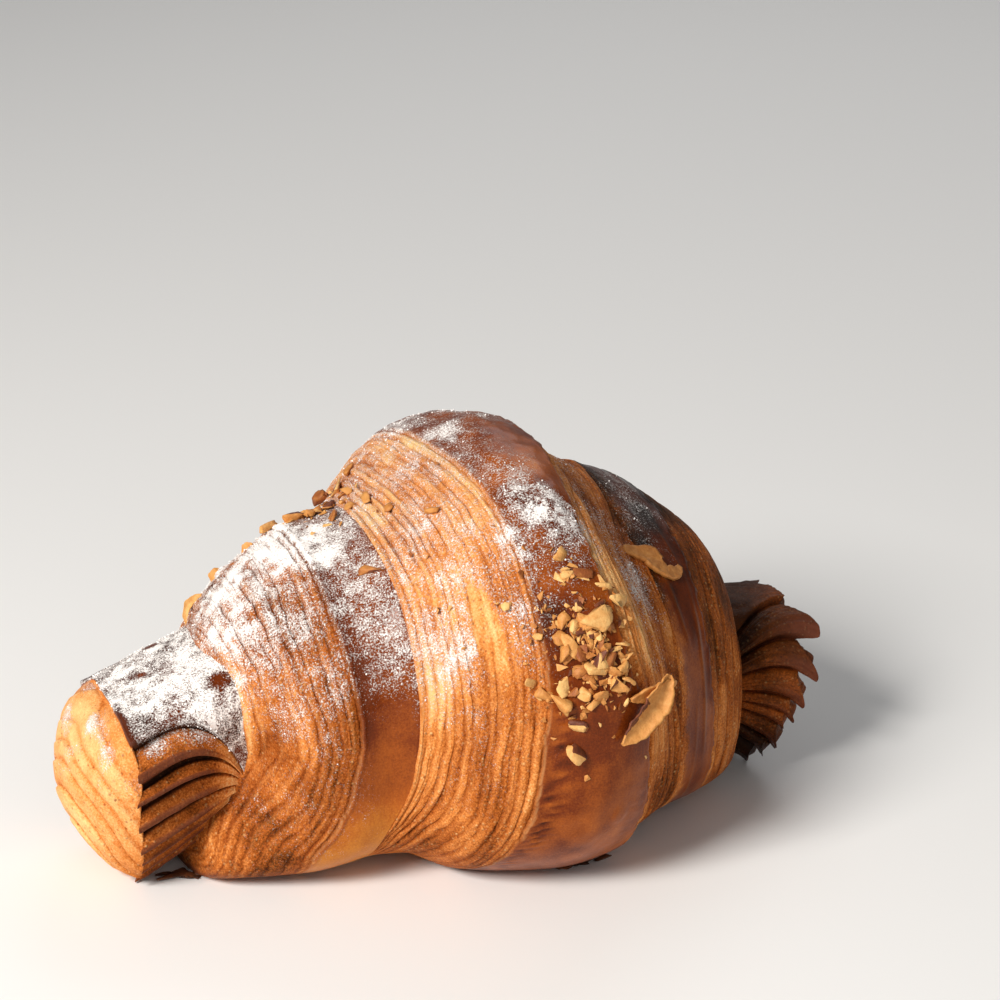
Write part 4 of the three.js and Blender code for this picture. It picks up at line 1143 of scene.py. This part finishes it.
def layShaving(place, path):
    at, degrees, lay, tilt, thick, hue, brown = place
    path = np.array(path, float)
    along = np.linspace(0.0, len(path) - 1.0, sheetSteps["along"] + 1)
    across = np.linspace(-1.0, 1.0, sheetSteps["across"] + 1)
    line = np.stack([np.interp(along, np.arange(len(path)), path[:, k]) for k in range(5)], -1)
    for _ in range(3):
        line[1:-1] = 0.25 * line[:-2] + 0.5 * line[1:-1] + 0.25 * line[2:]
    run = np.gradient(line[:, :2], axis=0)
    run = run / np.linalg.norm(run, axis=1, keepdims=True)
    ragged = 1.0 + 0.12 * waveRound(along, 3.0 + at, (3, 7, 11), 0.4)
    reach = line[:, 3:4] * (across[None, :] * ragged[:, None])
    points = np.stack([line[:, :1] - run[:, 1:] * reach, line[:, 1:2] + run[:, :1] * reach,
                       line[:, 2:3] + line[:, 4:5] * across[None, :] ** 2], -1)
    points = points + 0.10 * softNoise(points, 1.1, at)[..., None]
    bm = bmesh.new()
    bmesh.ops.create_grid(bm, x_segments=sheetSteps["across"], y_segments=sheetSteps["along"], size=1.0)
    for vert in bm.verts:
        column = round((vert.co.x + 1) / 2 * sheetSteps["across"])
        row = round((vert.co.y + 1) / 2 * sheetSteps["along"])
        vert.co = points[row, column]
    bmesh.ops.solidify(bm, geom=bm.faces[:], thickness=thick)
    bmesh.ops.recalc_face_normals(bm, faces=bm.faces)
    shape, faces = takeMesh(bm)
    middles = np.array([shape[face].mean(0) for face in faces])
    peel = (middles[:, 1] > brown + 0.5 * softNoise(middles, 1.4, at)) & (middles[:, 0] < 1.0)
    origin, axes = crustFrame(at, degrees, 0.0)
    return turned(shape, tilt, math.radians(lay)) @ axes.T + origin, faces, hue, peel


for name, kind in (("walnutFlakes", "walnut"), ("dryFlakes", "dry")):
    laid = [layShaving(*sheet) for key, sheet in shavings.items() if key.startswith(kind)]
    nutPieces.append(joinShapes(name, laid, True))


# scraps of burnt dough beside the base

trayScraps = {
    # x, y in the roll's own mm and size
    "placed": ((-60.5, -3.4, 1.2), (-58.8, -5.2, 1.5), (-56.8, -6.2, 1.3), (-54.6, -6.4, 1.7),
               (-52.6, -6.6, 1.3), (-50.6, -6.4, 1.5), (-48.6, -6.6, 1.3), (-46.8, -7.4, 1.2),
               (7.5, -31.5, 1.2), (10, -31, 1.5),
               (12.6, -31, 1.7), (15.2, -31.6, 1.3), (-44.5, -9.5, 1.2), (24, -24, 1.2), (33, -18, 1.1)),
    "stretch": (1.5, 1, 0.45), "corners": 10, "worn": 0.12, "seed": 700, "hueSeed": 710, "spin": 0.6,
    "tints": ((0.3, 34, 17, 9), (0.6, 70, 36, 16), (0.9, 120, 66, 28)), "grain": (700, 3, 0.6), "bump": 0.7,
    "bumpDepth": 0.0004,
}


def layScraps():
    shapes = []
    for k, (x, y, size) in enumerate(trayScraps["placed"]):
        seed = trayScraps["seed"] + walnuts["seedStep"] * k
        points, faces, peel = nutChunk(seed, size, trayScraps["corners"], trayScraps["worn"])
        points = points * np.array(trayScraps["stretch"])
        points[:, 2] -= points[:, 2].min()
        points = turned(points, 0.0, trayScraps["spin"] * spreadDraw(trayScraps["seed"] + k))
        points = points + toFrame(np.array([x, y, 0.0]))
        shapes.append((points, faces, draw(trayScraps["hueSeed"] + k), peel))
    return joinShapes("trayScraps", shapes, True)


def makeBurnt():
    material, tree, shader = newMaterial("burntDough")
    lumps = noise(objectPlace(tree), *trayScraps["grain"])
    colour = rampTint(plus(lumps, times(readField(tree, "hue"), 0.3)), *trayScraps["tints"])
    dress(shader, colour, spread(lumps, 0.2, 0.8, 0.5, 0.75))
    emboss(shader, lumps, trayScraps["bump"], trayScraps["bumpDepth"])
    return material


scrapPiece = layScraps()
scrapPiece.data.materials.append(makeBurnt())


# the walnuts' pale flesh and brown peel

walnutFinish = {
    # shade, red, green, blue
    "flesh": ((0, 230, 182, 114), (0.35, 212, 150, 82), (0.7, 184, 118, 56), (1, 140, 76, 36)),
    "peel": ((0.3, 128, 68, 36), (0.7, 80, 42, 34)),
    "grain": (900, 4, 0.6), "fine": (3000, 2, 0.5), "gloss": 0.3, "bump": 0.6, "bumpDepth": 0.0003,
}


def makeWalnut():
    material, tree, shader = newMaterial("walnutFlesh")
    where = objectPlace(tree)
    grain, fine = noise(where, *walnutFinish["grain"]), noise(where, *walnutFinish["fine"])
    flesh = rampTint(varied(readField(tree, "hue"), grain, 0.9), *walnutFinish["flesh"])
    colour = mixTint(readField(tree, "peel"), flesh, rampTint(grain, *walnutFinish["peel"]))
    dress(shader, colour, spread(grain, 0.2, 0.8, 0.42, 0.65), {"Specular IOR Level": walnutFinish["gloss"]})
    emboss(shader, plus(grain, times(fine, 0.4)), walnutFinish["bump"], walnutFinish["bumpDepth"])
    return material


walnutFlesh = makeWalnut()
for piece in nutPieces:
    piece.data.materials.append(walnutFlesh)
print("walnuts finished")


# icing sugar lying loose: small lumps, more of them where the dust is thick

grains = {
    "count": 8600, "least": 0.05, "most": 0.20, "seed": 11, "thinnest": 0.18, "uneven": 0.45, "stray": 0.35,
    "tints": ((0.3, 236, 226, 218), (0.6, 252, 250, 248)), "clump": (1200, 2, 0.6), "gloss": 0.2,
}


def scatterGrains():
    chance = np.random.default_rng(grains["seed"])
    count = grains["count"]
    places, weights = [], []
    for piece in crustPieces:
        mesh = piece.data
        corner = takeNumbers(mesh.polygons, "loop_start", kind=np.int32)
        owners = takeNumbers(mesh.loops, "vertex_index", kind=np.int32)
        sugar = takeNumbers(mesh.attributes["sugar"].data, "value")[owners[corner]]
        places.append(takeNumbers(mesh.polygons, "center", 3).reshape(-1, 3))
        thick = np.clip(sugar - grains["thinnest"], 0.0, 1.0)
        weights.append(takeNumbers(mesh.polygons, "area") * thick ** 1.3)
    places, weights = np.concatenate(places), np.concatenate(weights)
    chosen = chance.choice(len(places), count, p=weights / weights.sum())
    bm = bmesh.new()
    bmesh.ops.create_icosphere(bm, subdivisions=1, radius=1.0)
    ball, ballFaces = takeMesh(bm)
    size = grains["least"] + (grains["most"] - grains["least"]) * chance.random(count) ** 2.5
    uneven = 1.0 + grains["uneven"] * (chance.random((count, len(ball), 1)) - 0.5)
    middle = places[chosen] * 1000 + grains["stray"] * (chance.random((count, 3)) - 0.5)
    points = middle[:, None, :] + ball[None] * size[:, None, None] * uneven
    faces = np.array(ballFaces)[None] + len(ball) * np.arange(count)[:, None, None]
    mesh = bpy.data.meshes.new("icingGrains")
    mesh.from_pydata((points.reshape(-1, 3) * mm).tolist(), [], faces.reshape(-1, 3).tolist())
    return finishPiece("icingGrains", mesh)


def makeIcing():
    material, tree, shader = newMaterial("icingSugar")
    clump = noise(objectPlace(tree), *grains["clump"])
    dull = spread(clump, 0.2, 0.8, 0.7, 0.95)
    dress(shader, rampTint(clump, *grains["tints"]), dull, {"Specular IOR Level": grains["gloss"]})
    return material


grainPiece = scatterGrains()
grainPiece.data.materials.append(makeIcing())
print("icing sugar finished")


# the floor, the light and the camera

studio = {
    "aim": (11.12, 1.12, 61.2), "azimuth": -25.0, "elevation": 21.0, "distance": 558.0, "lens": 108.0,
    "sensor": 36.0, "nearest": 0.01, "floor": tint(240, 239, 237), "floorRough": 0.6,
    "floorReach": 6.0, "world": 0.17, "lampAim": (0.0, 0.0, 0.03),
    # place in metres, size, watts, colour
    "lamps": (
        ((-0.78, -0.36, 0.66), 0.36, 15.0, (1.0, 0.97, 0.93)),
        ((0.05, -0.95, 0.5), 0.7, 1.3, (1.0, 0.98, 0.96)),
        ((0.5, 0.7, 0.7), 0.6, 1.8, (0.97, 0.98, 1.0)),
    ),
}


def layFloor():
    mesh = gridMesh("floor", 2, 2, studio["floorReach"])
    floor = addObject("floor", mesh)
    material, _, shader = newMaterial("paleFloor")
    shader.inputs["Base Color"].default_value = studio["floor"]
    shader.inputs["Roughness"].default_value = studio["floorRough"]
    mesh.materials.append(material)


def setLights():
    world = bpy.data.worlds.new("studio")
    bpy.context.scene.world = world
    world.use_nodes = True
    back = world.node_tree.nodes["Background"]
    back.inputs["Color"].default_value = (1.0, 1.0, 1.0, 1.0)
    back.inputs["Strength"].default_value = studio["world"]
    for k, (place, size, watts, colour) in enumerate(studio["lamps"]):
        lamp = bpy.data.lights.new("softbox" + str(k), "AREA")
        lamp.size = size
        lamp.energy = watts
        lamp.color = colour
        holder = addObject(lamp.name, lamp)
        holder.location = place
        aim = Vector(studio["lampAim"]) - Vector(place)
        holder.rotation_euler = aim.to_track_quat("-Z", "Y").to_euler()


def setCamera():
    lens = bpy.data.cameras.new("camera")
    lens.lens = studio["lens"]
    lens.sensor_width = studio["sensor"]
    lens.sensor_fit = "HORIZONTAL"
    lens.clip_start = studio["nearest"]
    camera = addObject("camera", lens)
    azimuth, elevation = math.radians(studio["azimuth"]), math.radians(studio["elevation"])
    back = Vector((math.sin(azimuth) * math.cos(elevation), -math.cos(azimuth) * math.cos(elevation),
                   math.sin(elevation)))
    camera.location = Vector(studio["aim"]) * mm + back * studio["distance"] * mm
    camera.rotation_euler = back.to_track_quat("Z", "Y").to_euler()
    bpy.context.scene.camera = camera


layFloor()
setLights()
setCamera()
bpy.context.scene.view_settings.view_transform = "Standard"
print("studio ready")
